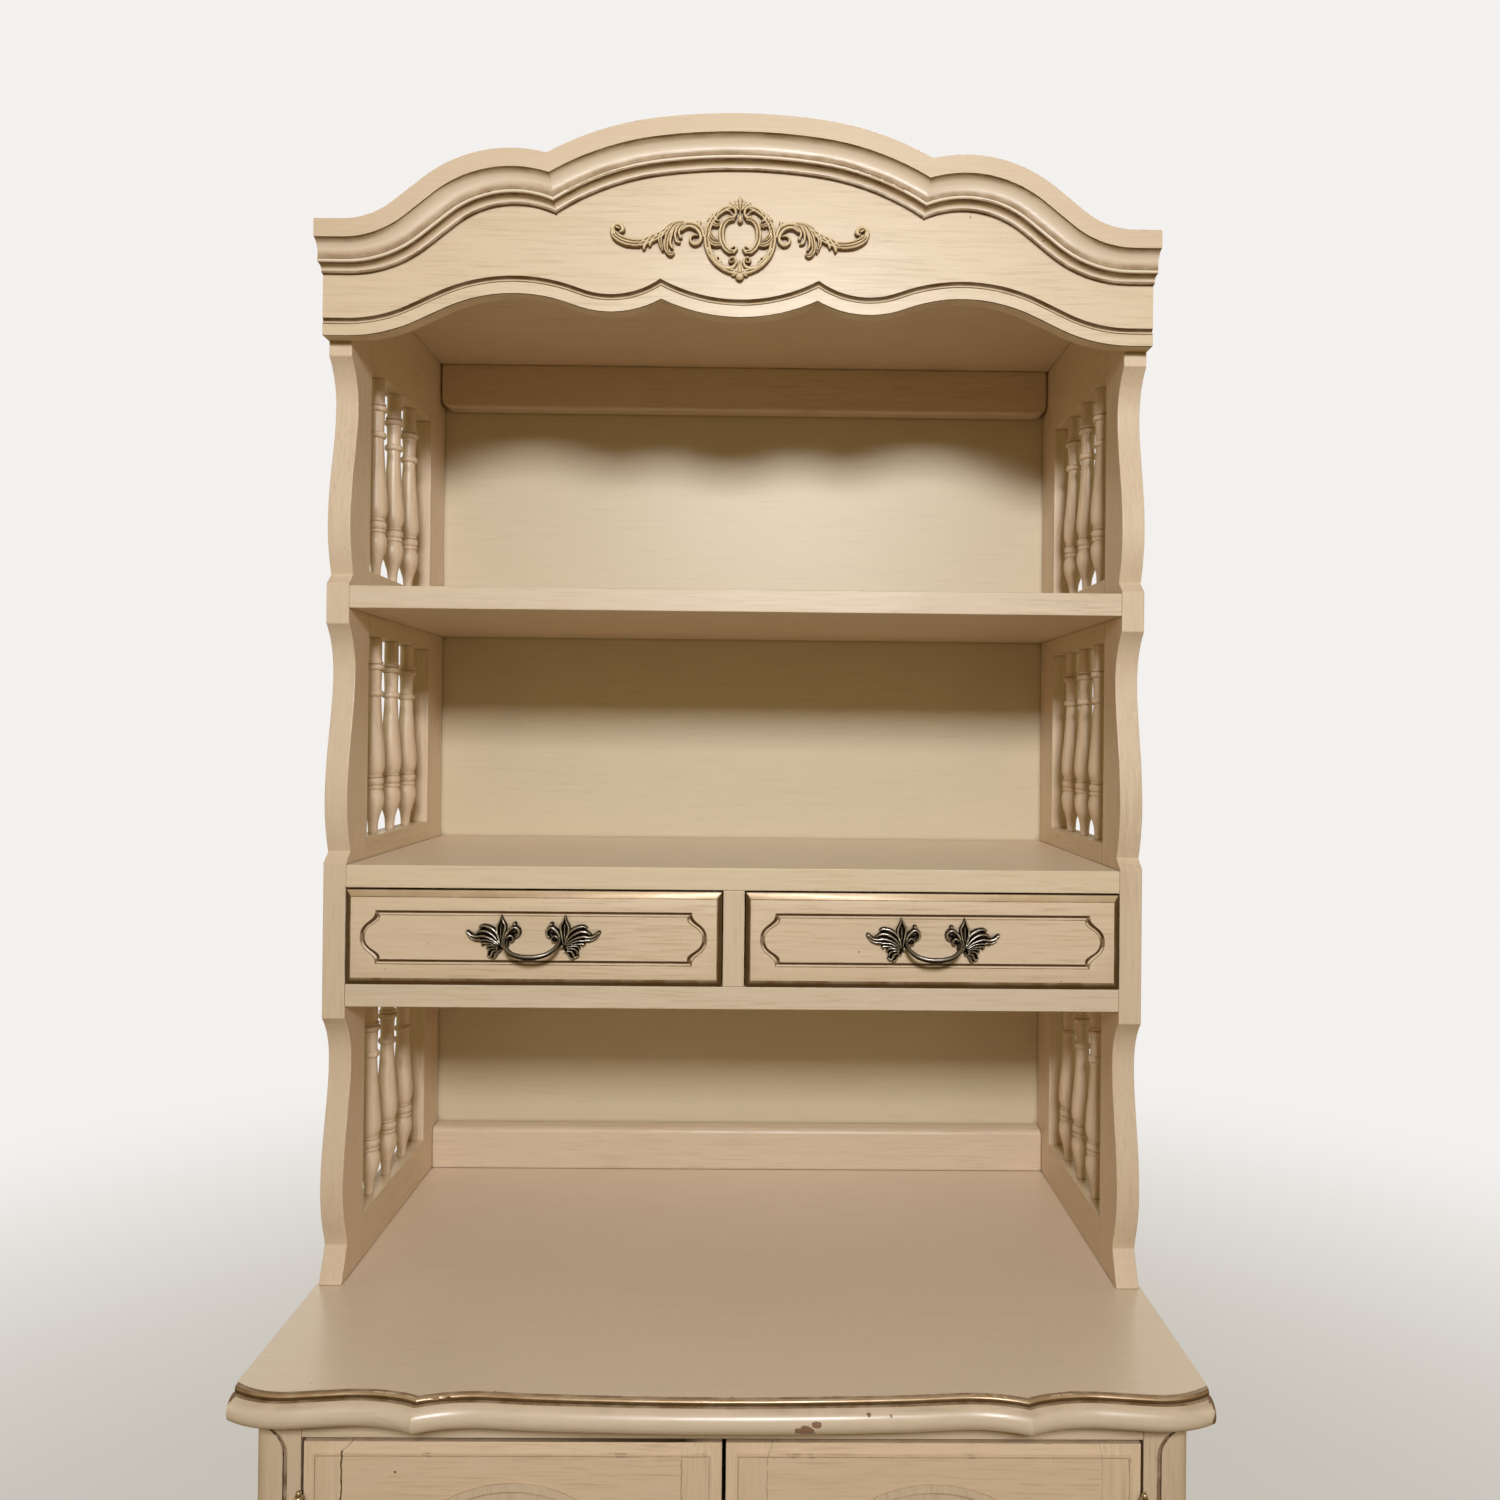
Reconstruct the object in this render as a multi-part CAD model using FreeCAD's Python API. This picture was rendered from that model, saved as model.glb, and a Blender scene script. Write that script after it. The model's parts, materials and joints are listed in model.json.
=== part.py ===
import FreeCAD, Part
import math
import os

# Dresser with hutch: a two-door base cabinet that carries an open hutch with two small drawers,
# turned spindles in its sides and a scrolled bonnet.
# Millimetres, +Z up, front towards -Y, left is -X.
# Origin: on the floor, midway between the sides and between the front and back of the base top.

V = FreeCAD.Vector
UP = V(0, 0, 1)
RIGHT = V(1, 0, 0)
BACK = V(0, 1, 0)
FRONT = V(0, -1, 0)

# ---------------------------------------------------------------- overall sizes
base_height = 762.0
hutch_width = 762.0
hutch_height = 970.0
hutch_depth = 301.0
base_width = 748.0
base_depth = 446.0
back_y = 244.0
board = 21.0

hutch_half = hutch_width / 2
inner_half = hutch_half - board
base_half = base_width / 2
hutch_front = back_y - hutch_depth
base_front = back_y - base_depth
hutch_roof_under = base_height + hutch_height - board

# ---------------------------------------------------------------- hutch sizes
front_post_depth = 53.0
rear_post_depth = 54.0
back_panel_thick = 5.0
shelf_under = base_height + 628.0
case_floor_under = base_height + 258.0
drawer_opening_height = 89.5
case_floor = case_floor_under + board
case_ceiling = case_floor + drawer_opening_height
case_top = case_ceiling + board

# Plain blocks on the front posts, above and below what they carry.
shelf_block_below = 14.5
shelf_block_above = 2.0
case_block_below = 11.0
case_block_above = 1.5
top_block_height = 87.0
foot_height = 32.0
foot_setback = 13.0

# Side rails stand this far above and below the shelves they carry.
top_rail_height = 77.5
shelf_rail_below = 19.0
shelf_rail_above = 21.0
case_side_below = 15.0
case_side_above = 20.5
bottom_rail_height = 44.0

back_rail_thick = 20.6
back_top_rail_height = 51.5
back_bottom_rail_height = 48.0

spindles_per_bay = 3
spindle_pitch = 50.0
tenon_radius = 4.5
tenon_length = 8.0
tenon_gap = 0.05

# ---------------------------------------------------------------- bonnet sizes
frieze_thick = 16.0
frieze_lap = 1.0
frieze_lower_edge = base_height + 897.0
bonnet_apex = base_height + 1071.8
frieze_groove_low = 10.2
frieze_groove_high = 16.0
frieze_groove_deepest = 14.4
frieze_groove_depth = 2.0
frieze_groove_step = 0.6
glue_block = 24.0
glue_block_height = 55.0
glue_block_places = (-210.0, 0.0, 210.0)

# ---------------------------------------------------------------- drawer sizes
divider = 20.0
drawer_front_thick = 19.0
drawer_front_proud = 3.0
drawer_bevel = 6.5
drawer_side_gap = 1.0
drawer_top_gap = 1.3
drawer_run_gap = 0.3
drawer_box_gap = 2.5
drawer_side_thick = 11.0
drawer_side_height = 74.0
drawer_back_height = 66.0
drawer_depth = 262.0
drawer_bottom_thick = 4.0
drawer_bottom_up = 8.0
groove_bite = 5.0
panel_slack = 0.1
routing_half_width = 146.5
routing_half_height = 25.0
routing_bulge = 14.0
routing_width = 4.7
routing_floor = 0.5
routing_depth = 1.5

dovetails = 4
dovetail_length = 12.0
dovetail_root = 9.0
dovetail_tip = 12.4

pull_screw_half = 28.0
pull_screw_drop = 4.0
pull_screw_radius = 2.0
pull_screw_clear = 0.2
screw_head_radius = 4.2
screw_head_thick = 2.0

# ---------------------------------------------------------------- base sizes
top_thick = 24.0
top_front_depth = 468.0
top_side_half = 378.0
post_width = 39.0
post_depth = 45.0
post_round = 15.0
post_groove_in = 24.5
post_groove_width = 3.7
post_groove_depth = 2.2
post_groove_reach = 32.0
leg_height = 150.0
glide_height = 4.0
glide_radius = 9.0
rear_post_width = 35.0
rear_post_thick = 40.0
rail_height = 23.0
rail_thick = 20.0
side_thick = 16.0
side_inset = 4.0
floor_thick = 18.0
floor_top = 165.0
shelf_top = 448.0
shelf_thick = 18.0
shelf_end_gap = 1.5
pin_radius = 2.5
pin_length = 22.0
pin_bite = 10.0
base_back_thick = 5.0

# ---------------------------------------------------------------- door sizes
door_thick = 20.0
door_proud = 3.0
door_gap = 2.5
door_meeting_gap = 3.4
door_bottom_gap = 2.5
stile_width = 32.5
door_rail_height = 31.0
arch_drop = 23.0
lip_width = 7.7
lip_drop = 2.6
lip_step = 0.6
lip_line_in = 1.6
lip_line_width = 1.0
lip_line_depth = 0.8
moulding_width = 6.0
moulding_proud = 1.2
door_field_rise = 6.0
rebate_width = 8.0
door_panel_thick = 8.0
door_panel_back = 9.0

hinge_length = 56.0
hinge_inset = 42.0
knuckle_radius = 3.5
hinge_pin_radius = 1.6
hinge_fit = 0.05
hinge_leaf_thick = 1.1
hinge_leaf_depth = 17.0
hinge_clear = 0.2
knuckle_gap = 0.3

catch_width = 44.0
catch_depth = 16.0
catch_height = 14.0
strike_thick = 0.8
catch_gap = 0.3

base_shelf_half = base_half - side_inset - side_thick - shelf_end_gap
case_ceiling_base = base_height - top_thick
door_top = case_ceiling_base - rail_height - door_gap
door_bottom = floor_top + door_bottom_gap
door_outer = base_half - post_width - door_gap
door_inner = door_meeting_gap / 2
door_face = base_front - door_proud
door_back = door_face + door_thick
door_width = door_outer - door_inner
door_height = door_top - door_bottom


# ---------------------------------------------------------------- helpers
def box(x0, x1, y0, y1, z0, z1):
    return Part.makeBox(x1 - x0, y1 - y0, z1 - z0, V(x0, y0, z0))


def mirrored(shape):
    """The same shape on the other side of the middle plane."""
    return shape.mirror(V(0, 0, 0), RIGHT)


def pair(shape):
    return [shape, mirrored(shape)]


def fused(shapes):
    first = shapes[0]
    if len(shapes) == 1:
        return first
    return first.fuse(shapes[1:]).removeSplitter()


def line(a, b):
    return Part.LineSegment(a, b).toShape()


def bezier(*poles):
    curve = Part.BezierCurve()
    curve.setPoles(list(poles))
    return curve.toShape()


def prism(edges, along):
    return Part.Face(Part.Wire(edges)).extrude(along)


def polygon_prism(points, along):
    return Part.Face(Part.makePolygon(points + points[:1])).extrude(along)


def outline_edges(start, steps, place):
    """Edges through profile points. A step is a point, or (mid, end) for an arc."""
    edges = []
    here = start
    for step in steps:
        if isinstance(step[0], tuple):
            mid, end = step
            edges.append(Part.Arc(place(*here), place(*mid), place(*end)).toShape())
        else:
            end = step
            edges.append(line(place(*here), place(*end)))
        here = end
    edges.append(line(place(*here), place(*start)))
    return edges


def is_along(edge, direction):
    """True for a straight edge that runs along the direction."""
    ends = edge.Vertexes
    if len(ends) < 2:
        return False
    way = ends[1].Point - ends[0].Point
    return way.Length > 0 and way.cross(direction).Length < 1e-6 * way.Length


def on_plane(edge, axis, value):
    """True when both ends have this coordinate, where axis is 0, 1 or 2."""
    return all(abs(vertex.Point[axis] - value) < 1e-6 for vertex in edge.Vertexes)


def heading_vector(degrees):
    turn = math.radians(degrees)
    return math.cos(turn), math.sin(turn)


class Run:
    """A straight or an arc of a moulded edge, in a plane (s to the right, t up).

    heading and turn are in degrees, and a left turn is positive.
    """

    def __init__(self, start, heading, length=0.0, radius=0.0, turn=0.0):
        self.start = start
        self.heading = heading
        self.length = length
        self.radius = radius
        self.turn = turn
        if turn:
            side = math.copysign(radius, turn)
            ahead = heading_vector(heading + 90)
            self.centre = (start[0] + side * ahead[0], start[1] + side * ahead[1])
            self.length = radius * math.radians(abs(turn))

    def heading_at(self, share):
        return self.heading + self.turn * share

    def point(self, share, out=0.0):
        """The point at a share of the run, moved to its left by out."""
        left = heading_vector(self.heading_at(share) + 90)
        if self.turn:
            away = out - math.copysign(self.radius, self.turn)
            return self.centre[0] + away * left[0], self.centre[1] + away * left[1]
        ahead = heading_vector(self.heading)
        go = self.length * share
        return (
            self.start[0] + go * ahead[0] + out * left[0],
            self.start[1] + go * ahead[1] + out * left[1],
        )


def arc(radius, turn):
    return {"radius": radius, "turn": turn}


def straight(length):
    return {"length": length}


def lay_out(start, heading, moves):
    """Runs that follow each other. A bare number among the moves is a corner: the new heading."""
    runs = []
    here = start
    for move in moves:
        if isinstance(move, float):
            heading = move
            continue
        run = Run(here, heading, **move)
        runs.append(run)
        here = run.point(1)
        heading = run.heading_at(1)
    return runs


def run_edges(runs, place):
    """The runs as edges, where place(s, t) gives a point in space."""
    edges = []
    for run in runs:
        a = place(*run.point(0))
        b = place(*run.point(1))
        if run.turn:
            edges.append(Part.Arc(a, place(*run.point(0.5)), b).toShape())
        else:
            edges.append(line(a, b))
    return edges


MITRE_REACH = 30.0


def mitre_keep(corner, heading, ahead, lift, reach=90.0):
    """A block that covers one side of the plane through a corner, square to a heading."""
    along = heading_vector(heading)
    across = heading_vector(heading + 90)
    sign = 1 if ahead else -1
    points = []
    for go, side in ((0, -reach), (0, reach), (2 * reach, reach), (2 * reach, -reach)):
        s = corner[0] + sign * go * along[0] + side * across[0]
        t = corner[1] + sign * go * along[1] + side * across[1]
        points.append(lift(s, t, -reach))
    return polygon_prism(points, lift(0, 0, reach) - lift(0, 0, -reach))


def sweep(runs, start, steps, lift):
    """A moulding with one profile along runs, mitred where two runs meet at a corner.

    The profile's points are (out, up): out is to the left of the run and up is off its plane.
    lift(s, t, up) gives a point in space.
    """
    across = (lift(1, 0, 0) - lift(0, 0, 0)).cross(lift(0, 1, 0) - lift(0, 0, 0))
    pieces = []
    for i, run in enumerate(runs):
        before = runs[i - 1] if i else None
        after = runs[i + 1] if i + 1 < len(runs) else None
        extra = MITRE_REACH / run.length
        first = 0.0
        last = 1.0
        cuts = []
        if before and abs(before.heading_at(1) - run.heading) > 1e-6:
            first = -extra
            middle = (before.heading_at(1) + run.heading) / 2
            cuts.append(mitre_keep(run.start, middle, False, lift))
        if after and abs(run.heading_at(1) - after.heading) > 1e-6:
            last = 1 + extra
            middle = (run.heading_at(1) + after.heading) / 2
            cuts.append(mitre_keep(run.point(1), middle, True, lift))
        edges = outline_edges(start, steps, lambda out, up: lift(*run.point(first, out), up))
        face = Part.Face(Part.Wire(edges))
        if run.turn:
            angle = run.turn * (last - first)
            solid = face.revolve(lift(*run.centre, 0), across, angle)
        else:
            ahead = heading_vector(run.heading)
            go = run.length * (last - first)
            solid = face.extrude(lift(go * ahead[0], go * ahead[1], 0) - lift(0, 0, 0))
        for cut in cuts:
            solid = solid.cut(cut)
        pieces.append(solid)
    return pieces


def petal(length, width, thick, angle=0.0, at=(0.0, 0.0)):
    """A leaf-shaped plate in the XZ plane, from its stem outwards, with its back on Y = 0."""
    half = width / 2
    wire = Part.Wire(
        [
            Part.Arc(V(0, 0, 0), V(length * 0.45, 0, half), V(length, 0, 0)).toShape(),
            Part.Arc(V(length, 0, 0), V(length * 0.45, 0, -half), V(0, 0, 0)).toShape(),
        ]
    )
    leaf = Part.Face(wire).extrude(FRONT * thick)
    leaf.rotate(V(0, 0, 0), FRONT, angle)
    leaf.translate(V(at[0], 0, at[1]))
    return leaf


def blade(poles, widths, thick):
    """A curved leaf or tendril in the XZ plane, with its back on Y = 0.

    The poles (x, z) draw its centre line, and it has a width at each of them.
    """
    left = []
    right = []
    for i, pole in enumerate(poles):
        before = poles[max(i - 1, 0)]
        after = poles[min(i + 1, len(poles) - 1)]
        along = V(after[0] - before[0], 0, after[1] - before[1]).normalize()
        across = along.cross(FRONT) * (widths[i] / 2)
        middle = V(pole[0], 0, pole[1])
        left.append(middle + across)
        right.append(middle - across)
    edges = [bezier(*left), line(left[-1], right[-1]), bezier(*reversed(right)), line(right[0], left[0])]
    return prism(edges, FRONT * thick)


def volute(x, z, radius, thick):
    """A rolled end: a rim and an eye that stand up from a thinner disc."""
    at = V(x, 0, z)
    disc = Part.makeCylinder(radius, thick * 0.6, at, FRONT)
    hollow = Part.makeCylinder(radius * 0.72, thick, at, FRONT)
    rim = Part.makeCylinder(radius, thick, at, FRONT).cut(hollow)
    eye = Part.makeCylinder(radius * 0.36, thick, at, FRONT)
    return fused([disc, rim, eye])


def turned(points, centre):
    """A turning about a vertical axis: (radius, height) points, or (mid, end) for an arc."""
    edges = outline_edges(points[0], points[1:], lambda r, h: centre + V(r, 0, h))
    return Part.Face(Part.Wire(edges)).revolve(centre, UP, 360)


parts = {}


# ---------------------------------------------------------------- hutch posts
def bay_front(z_low, z_high):
    """Front edge of a post along one open bay, from the top down.

    A deep hollow under the block above, a belly low down, and a second hollow above the block
    below. Depths are measured back from the front plane.
    """
    height = z_high - z_low
    hollow = 17.8
    belly = 0.8
    low_hollow = 10.5
    hollow_z = z_high - 0.20 * height
    belly_z = z_high - 0.745 * height
    low_z = z_high - 0.957 * height

    def at(depth, z):
        return V(0, hutch_front + depth, z)

    return [
        bezier(at(0, z_high), at(9, z_high - 9), at(hollow, hollow_z + 20), at(hollow, hollow_z)),
        bezier(
            at(hollow, hollow_z),
            at(hollow, hollow_z - 0.18 * height),
            at(belly, belly_z + 0.22 * height),
            at(belly, belly_z),
        ),
        bezier(
            at(belly, belly_z),
            at(belly, belly_z - 0.07 * height),
            at(0.45 * low_hollow, low_z + 0.06 * height),
            at(low_hollow, low_z),
        ),
    ]


def hutch_front_post():
    """Left post: a shaped board on edge."""

    def at(depth, z):
        return V(0, hutch_front + depth, z)

    bays = [
        (shelf_under + board + shelf_block_above, hutch_roof_under - top_block_height),
        (case_top + case_block_above, shelf_under - shelf_block_below),
        (base_height + foot_height, case_floor_under - case_block_below),
    ]
    edges = []
    here = at(0, hutch_roof_under)
    for z_low, z_high in bays:
        edges.append(line(here, at(0, z_high)))
        edges.extend(bay_front(z_low, z_high))
        here = edges[-1].Vertexes[-1].Point
        if z_low > bays[-1][0]:
            edges.append(line(here, at(0, z_low)))
            here = at(0, z_low)
    edges.append(line(here, at(foot_setback, base_height + foot_height)))
    edges.append(line(at(foot_setback, base_height + foot_height), at(0, base_height)))
    edges.append(line(at(0, base_height), at(front_post_depth, base_height)))
    edges.append(line(at(front_post_depth, base_height), at(front_post_depth, hutch_roof_under)))
    edges.append(line(at(front_post_depth, hutch_roof_under), at(0, hutch_roof_under)))
    post = prism(edges, RIGHT * board)
    post.translate(V(-hutch_half, 0, 0))
    return post


rear_post_front = back_y - back_panel_thick - rear_post_depth
rear_post_back = back_y - back_panel_thick

parts["hutch_front_post_left"] = [hutch_front_post()]
parts["hutch_front_post_right"] = [mirrored(hutch_front_post())]
rear_post = box(-hutch_half, -inner_half, rear_post_front, rear_post_back, base_height, hutch_roof_under)
parts["hutch_rear_post_left"] = [rear_post]
parts["hutch_rear_post_right"] = [mirrored(rear_post)]


# ---------------------------------------------------------------- hutch sides
side_rail_levels = [
    (base_height, base_height + bottom_rail_height),
    (case_floor_under - case_side_below, case_top + case_side_above),
    (shelf_under - shelf_rail_below, shelf_under + board + shelf_rail_above),
    (hutch_roof_under - top_rail_height, hutch_roof_under),
]
side_front = hutch_front + front_post_depth
side_middle_x = -(hutch_half + inner_half) / 2
side_middle_y = (side_front + rear_post_front) / 2


def spindle(z_low, z_high):
    """A turned spindle: rings over a long vase, a banded ring, and a bulb that tapers to the foot."""
    top = z_high - z_low
    band = 50.0
    ring = 9.6
    bead_top = top - 23.5
    lower_bead_top = top - 53.5
    vase_top = top - 60.0
    points = [
        (0, -tenon_length),
        (tenon_radius - tenon_gap, -tenon_length),
        (tenon_radius - tenon_gap, 0),
        (5.1, 0),
        ((7.6, 18), (8.6, 32)),
        ((8.2, 37), (6.6, 40.5)),
        (8.8, 41.5),
        ((9.5, 42.3), (8.8, 43.2)),
        ((9.9, band), (8.8, 56.6)),
        ((9.5, 57.4), (8.8, 58.2)),
        (7.2, 59),
        ((8.5, 70), (7.6, 92)),
        (5.3, vase_top - 12),
        (5.1, vase_top),
        ((ring, vase_top + 3.2), (6.4, lower_bead_top)),
        ((6.3, lower_bead_top + 10), (7.8, bead_top - 9.5)),
        ((ring, bead_top - 4.7), (7.4, bead_top)),
        (6.8, top),
        (tenon_radius - tenon_gap, top),
        (tenon_radius - tenon_gap, top + tenon_length),
        (0, top + tenon_length),
    ]
    return turned(points, V(0, 0, z_low))


spindle_places = []
for i in range(spindles_per_bay):
    offset = i - (spindles_per_bay - 1) / 2
    spindle_places.append(V(side_middle_x, side_middle_y + offset * spindle_pitch, 0))


def hutch_side_rails():
    rails = []
    for z_low, z_high in side_rail_levels:
        rail = box(-hutch_half, -inner_half, side_front, rear_post_front, z_low, z_high)
        for place in spindle_places:
            for end_z in (z_low, z_high - tenon_length - tenon_gap):
                at_floor = end_z <= base_height
                at_roof = z_high >= hutch_roof_under and end_z > z_low
                if not at_floor and not at_roof:
                    depth = tenon_length + tenon_gap
                    rail = rail.cut(Part.makeCylinder(tenon_radius, depth, place + UP * end_z))
        rails.append(rail)
    return rails


def hutch_spindles():
    turnings = []
    for below, above in zip(side_rail_levels, side_rail_levels[1:]):
        turning = spindle(below[1], above[0])
        turnings.extend(turning.translated(place) for place in spindle_places)
    return turnings


parts["hutch_side_rails_left"] = hutch_side_rails()
parts["hutch_side_rails_right"] = [mirrored(rail) for rail in hutch_side_rails()]
parts["hutch_spindles_left"] = hutch_spindles()
parts["hutch_spindles_right"] = [mirrored(turning) for turning in hutch_spindles()]


# ---------------------------------------------------------------- hutch shelves, roof and back
def full_shelf(z_under):
    return box(-inner_half, inner_half, hutch_front, rear_post_back, z_under, z_under + board)


def hutch_back_top_rail():
    """The lower edge is rounded over, and so are its two corners."""
    z_low = hutch_roof_under - back_top_rail_height
    rail = box(
        -inner_half, inner_half, rear_post_back - back_rail_thick, rear_post_back, z_low, hutch_roof_under
    )
    corners = [edge for edge in rail.Edges if is_along(edge, BACK) and on_plane(edge, 2, z_low)]
    rail = rail.makeFillet(14, corners)
    face_y = rear_post_back - back_rail_thick
    face = [edge for edge in rail.Edges if on_plane(edge, 1, face_y)]
    lower = [edge for edge in face if edge.CenterOfMass.z < hutch_roof_under - 1]
    lower = [edge for edge in lower if abs(edge.CenterOfMass.x) < inner_half - 1]
    return rail.makeFillet(4, lower)


def hutch_back_bottom_rail():
    """The upper front edge is rounded over."""
    z_high = base_height + back_bottom_rail_height
    face_y = rear_post_back - back_rail_thick
    rail = box(-inner_half, inner_half, face_y, rear_post_back, base_height, z_high)
    top_front = [edge for edge in rail.Edges if on_plane(edge, 1, face_y) and on_plane(edge, 2, z_high)]
    return rail.makeFillet(7, top_front)


parts["hutch_shelf"] = [full_shelf(shelf_under)]
parts["drawer_case_top"] = [full_shelf(case_ceiling)]
parts["drawer_case_bottom"] = [full_shelf(case_floor_under)]
parts["drawer_divider"] = [
    box(-divider / 2, divider / 2, hutch_front, rear_post_back, case_floor, case_ceiling)
]
parts["hutch_roof"] = [
    box(-hutch_half, hutch_half, hutch_front, rear_post_back, hutch_roof_under, hutch_roof_under + board)
]
parts["hutch_back_panel"] = [
    box(-hutch_half, hutch_half, rear_post_back, back_y, base_height, hutch_roof_under + board)
]
parts["hutch_back_top_rail"] = [hutch_back_top_rail()]
parts["hutch_back_bottom_rail"] = [hutch_back_bottom_rail()]


# ---------------------------------------------------------------- bonnet
def bonnet_top_runs():
    """Upper edge of the crown from the apex to the right end: a low arch to the cusp, a round
    shoulder, and a hollow that eases into the level end."""
    runs = lay_out(
        (0.0, bonnet_apex),
        0.0,
        [
            arc(560.0, -7.7),
            arc(280.0, -21.4),
            13.9,
            arc(128.0, -52.9),
            straight(33.2),
            arc(72.5, 39.0),
        ],
    )
    end = runs[-1].point(1)
    runs.append(Run(end, 0.0, length=hutch_half - end[0]))
    return runs


def frieze_lower_runs():
    """Shaped lower edge of the frieze from the middle to the right end."""
    runs = lay_out(
        (0.0, frieze_lower_edge),
        0.0,
        [
            arc(170.0, 25.0),
            -29.7,
            arc(95.0, 50.3),
            arc(152.0, -46.1),
            straight(27.3),
            arc(147.0, 25.5),
        ],
    )
    end = runs[-1].point(1)
    runs.append(Run(end, 0.0, length=hutch_half - end[0]))
    return runs


frieze_face = hutch_front - frieze_thick


def bonnet_lift(s, t, up):
    """The bonnet's plane is the frieze's face, and up is towards the front."""
    return V(s, frieze_face - up, t)


def whole(half_pieces):
    """Both halves of something that crosses the middle plane, as one solid."""
    half = fused(half_pieces)
    return half.fuse(mirrored(half)).removeSplitter()


def bonnet_frieze():
    lower = frieze_lower_runs()
    upper = bonnet_top_runs()

    def place(s, t):
        return V(s, frieze_face, t)

    def place_top(s, t):
        return V(s, frieze_face, t - frieze_lap)

    edges = run_edges(lower, place)
    edges.append(line(place(*lower[-1].point(1)), place_top(*upper[-1].point(1))))
    edges.extend(run_edges(upper, place_top))
    edges.append(line(place_top(*upper[0].point(0)), place(*lower[0].point(0))))
    half = prism(Part.sortEdges(edges)[0], BACK * frieze_thick)
    groove_section = [
        (frieze_groove_low, -frieze_groove_step),
        (frieze_groove_deepest, -frieze_groove_depth),
        (frieze_groove_high, 0),
        (frieze_groove_high, frieze_groove_step),
    ]
    for piece in sweep(lower, (frieze_groove_low, frieze_groove_step), groove_section, bonnet_lift):
        half = half.cut(piece)
    return whole([half])


def bonnet_crown():
    """Fascia, cove, bead, second small cove and fillet, seen in section from the top down."""
    profile = [
        (0, 22.0),
        (-16.3, 22.0),
        (-16.3, 20.0),
        ((-21.0, 14.5), (-32.0, 12.6)),
        (-32.0, 11.6),
        ((-33.6, 13.2), (-35.2, 11.4)),
        (-35.2, 9.0),
        ((-36.5, 5.2), (-39.8, 3.6)),
        (-41.2, 3.6),
        (-41.2, 0),
    ]
    pieces = sweep(bonnet_top_runs(), (0, 0), profile, bonnet_lift)
    return whole(pieces)


def glue_blocks():
    blocks = []
    z_low = hutch_roof_under + board
    for x in glue_block_places:
        corner = [
            V(x - glue_block / 2, hutch_front, z_low),
            V(x - glue_block / 2, hutch_front + glue_block, z_low),
            V(x - glue_block / 2, hutch_front, z_low + glue_block_height),
        ]
        blocks.append(polygon_prism(corner, RIGHT * glue_block))
    return blocks


# ---------------------------------------------------------------- cartouche
cartouche_z = base_height + 966.8
cartouche_thick = 7.0
ring_half_width = 32.8
ring_half_height = 32.0
ring_band = 6.0
frame_half_width = 20.0
frame_half_height = 18.6
frame_band = 6.0


def ellipse_prism(half_width, half_height, thick):
    """An upright oval plate, wider than it is high, from Y = 0 towards the front."""
    oval = Part.Ellipse(V(0, 0, 0), half_width, half_height)
    face = Part.Face(Part.Wire(oval.toShape()))
    face.rotate(V(0, 0, 0), RIGHT, 90)
    return face.extrude(FRONT * thick)


def oval_band(half_width, half_height, band, thick):
    return ellipse_prism(half_width, half_height, thick).cut(
        ellipse_prism(half_width - band, half_height - band, thick)
    )


def cartouche_arm():
    """Right arm: a C-scroll beside the ring, a drooping leaf spray, and a stem that ends in a volute."""
    thick = cartouche_thick
    stem = [(58.0, 7.0), (74.0, 2.0), (88.0, -16.0), (114.0, -14.0), (122.0, 6.0), (111.0, 12.0)]
    return [
        volute(40.2, -1.0, 7.0, thick),
        blade([(33.0, 0.0), (35.0, 19.0), (54.0, 17.0), (59.0, 6.0), (56.0, -5.0)], [5, 6, 6, 5, 2], thick),
        blade([(47.0, 10.0), (62.0, 14.0), (74.0, 0.0), (62.5, -17.5)], [6, 13, 13, 3], thick - 1),
        blade([(52.0, 10.0), (64.0, 6.0), (66.0, -2.0), (57.0, -9.0)], [6, 10, 8, 2], thick - 1),
        blade(stem, [9, 8, 7, 8, 6, 3], thick - 1),
        volute(111.0, 6.2, 6.0, thick),
        petal(10, 5.5, thick - 2, -48, (83.0, -5.5)),
        petal(8, 5.0, thick - 2, 118, (37.0, 9.5)),
    ]


def cartouche_half():
    """Right half of what fills the ring: scrolls and leaves between the ring and the inner frame."""
    thick = cartouche_thick
    return [
        blade([(2.5, 13.0), (4.0, 25.0), (17.0, 29.0), (25.0, 15.0)], [5, 6, 6, 3], thick),
        blade([(12.0, 15.0), (22.0, 16.0), (27.0, 6.0), (19.0, -4.0)], [3, 6, 7, 5], thick - 1),
        blade([(16.0, -12.0), (25.0, -10.0), (29.5, 3.0)], [7, 8, 3], thick - 1),
        blade([(29.0, -9.0), (26.0, -22.0), (14.0, -28.0), (5.0, -27.0)], [3, 8, 7, 4], thick - 1),
        volute(7.2, -20.5, 4.6, thick),
        petal(15, 6.0, thick - 1, 52, (-1.0, 22.0)),
        petal(14, 5.5, thick - 1, -50, (-1.5, -23.0)),
    ]


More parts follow.
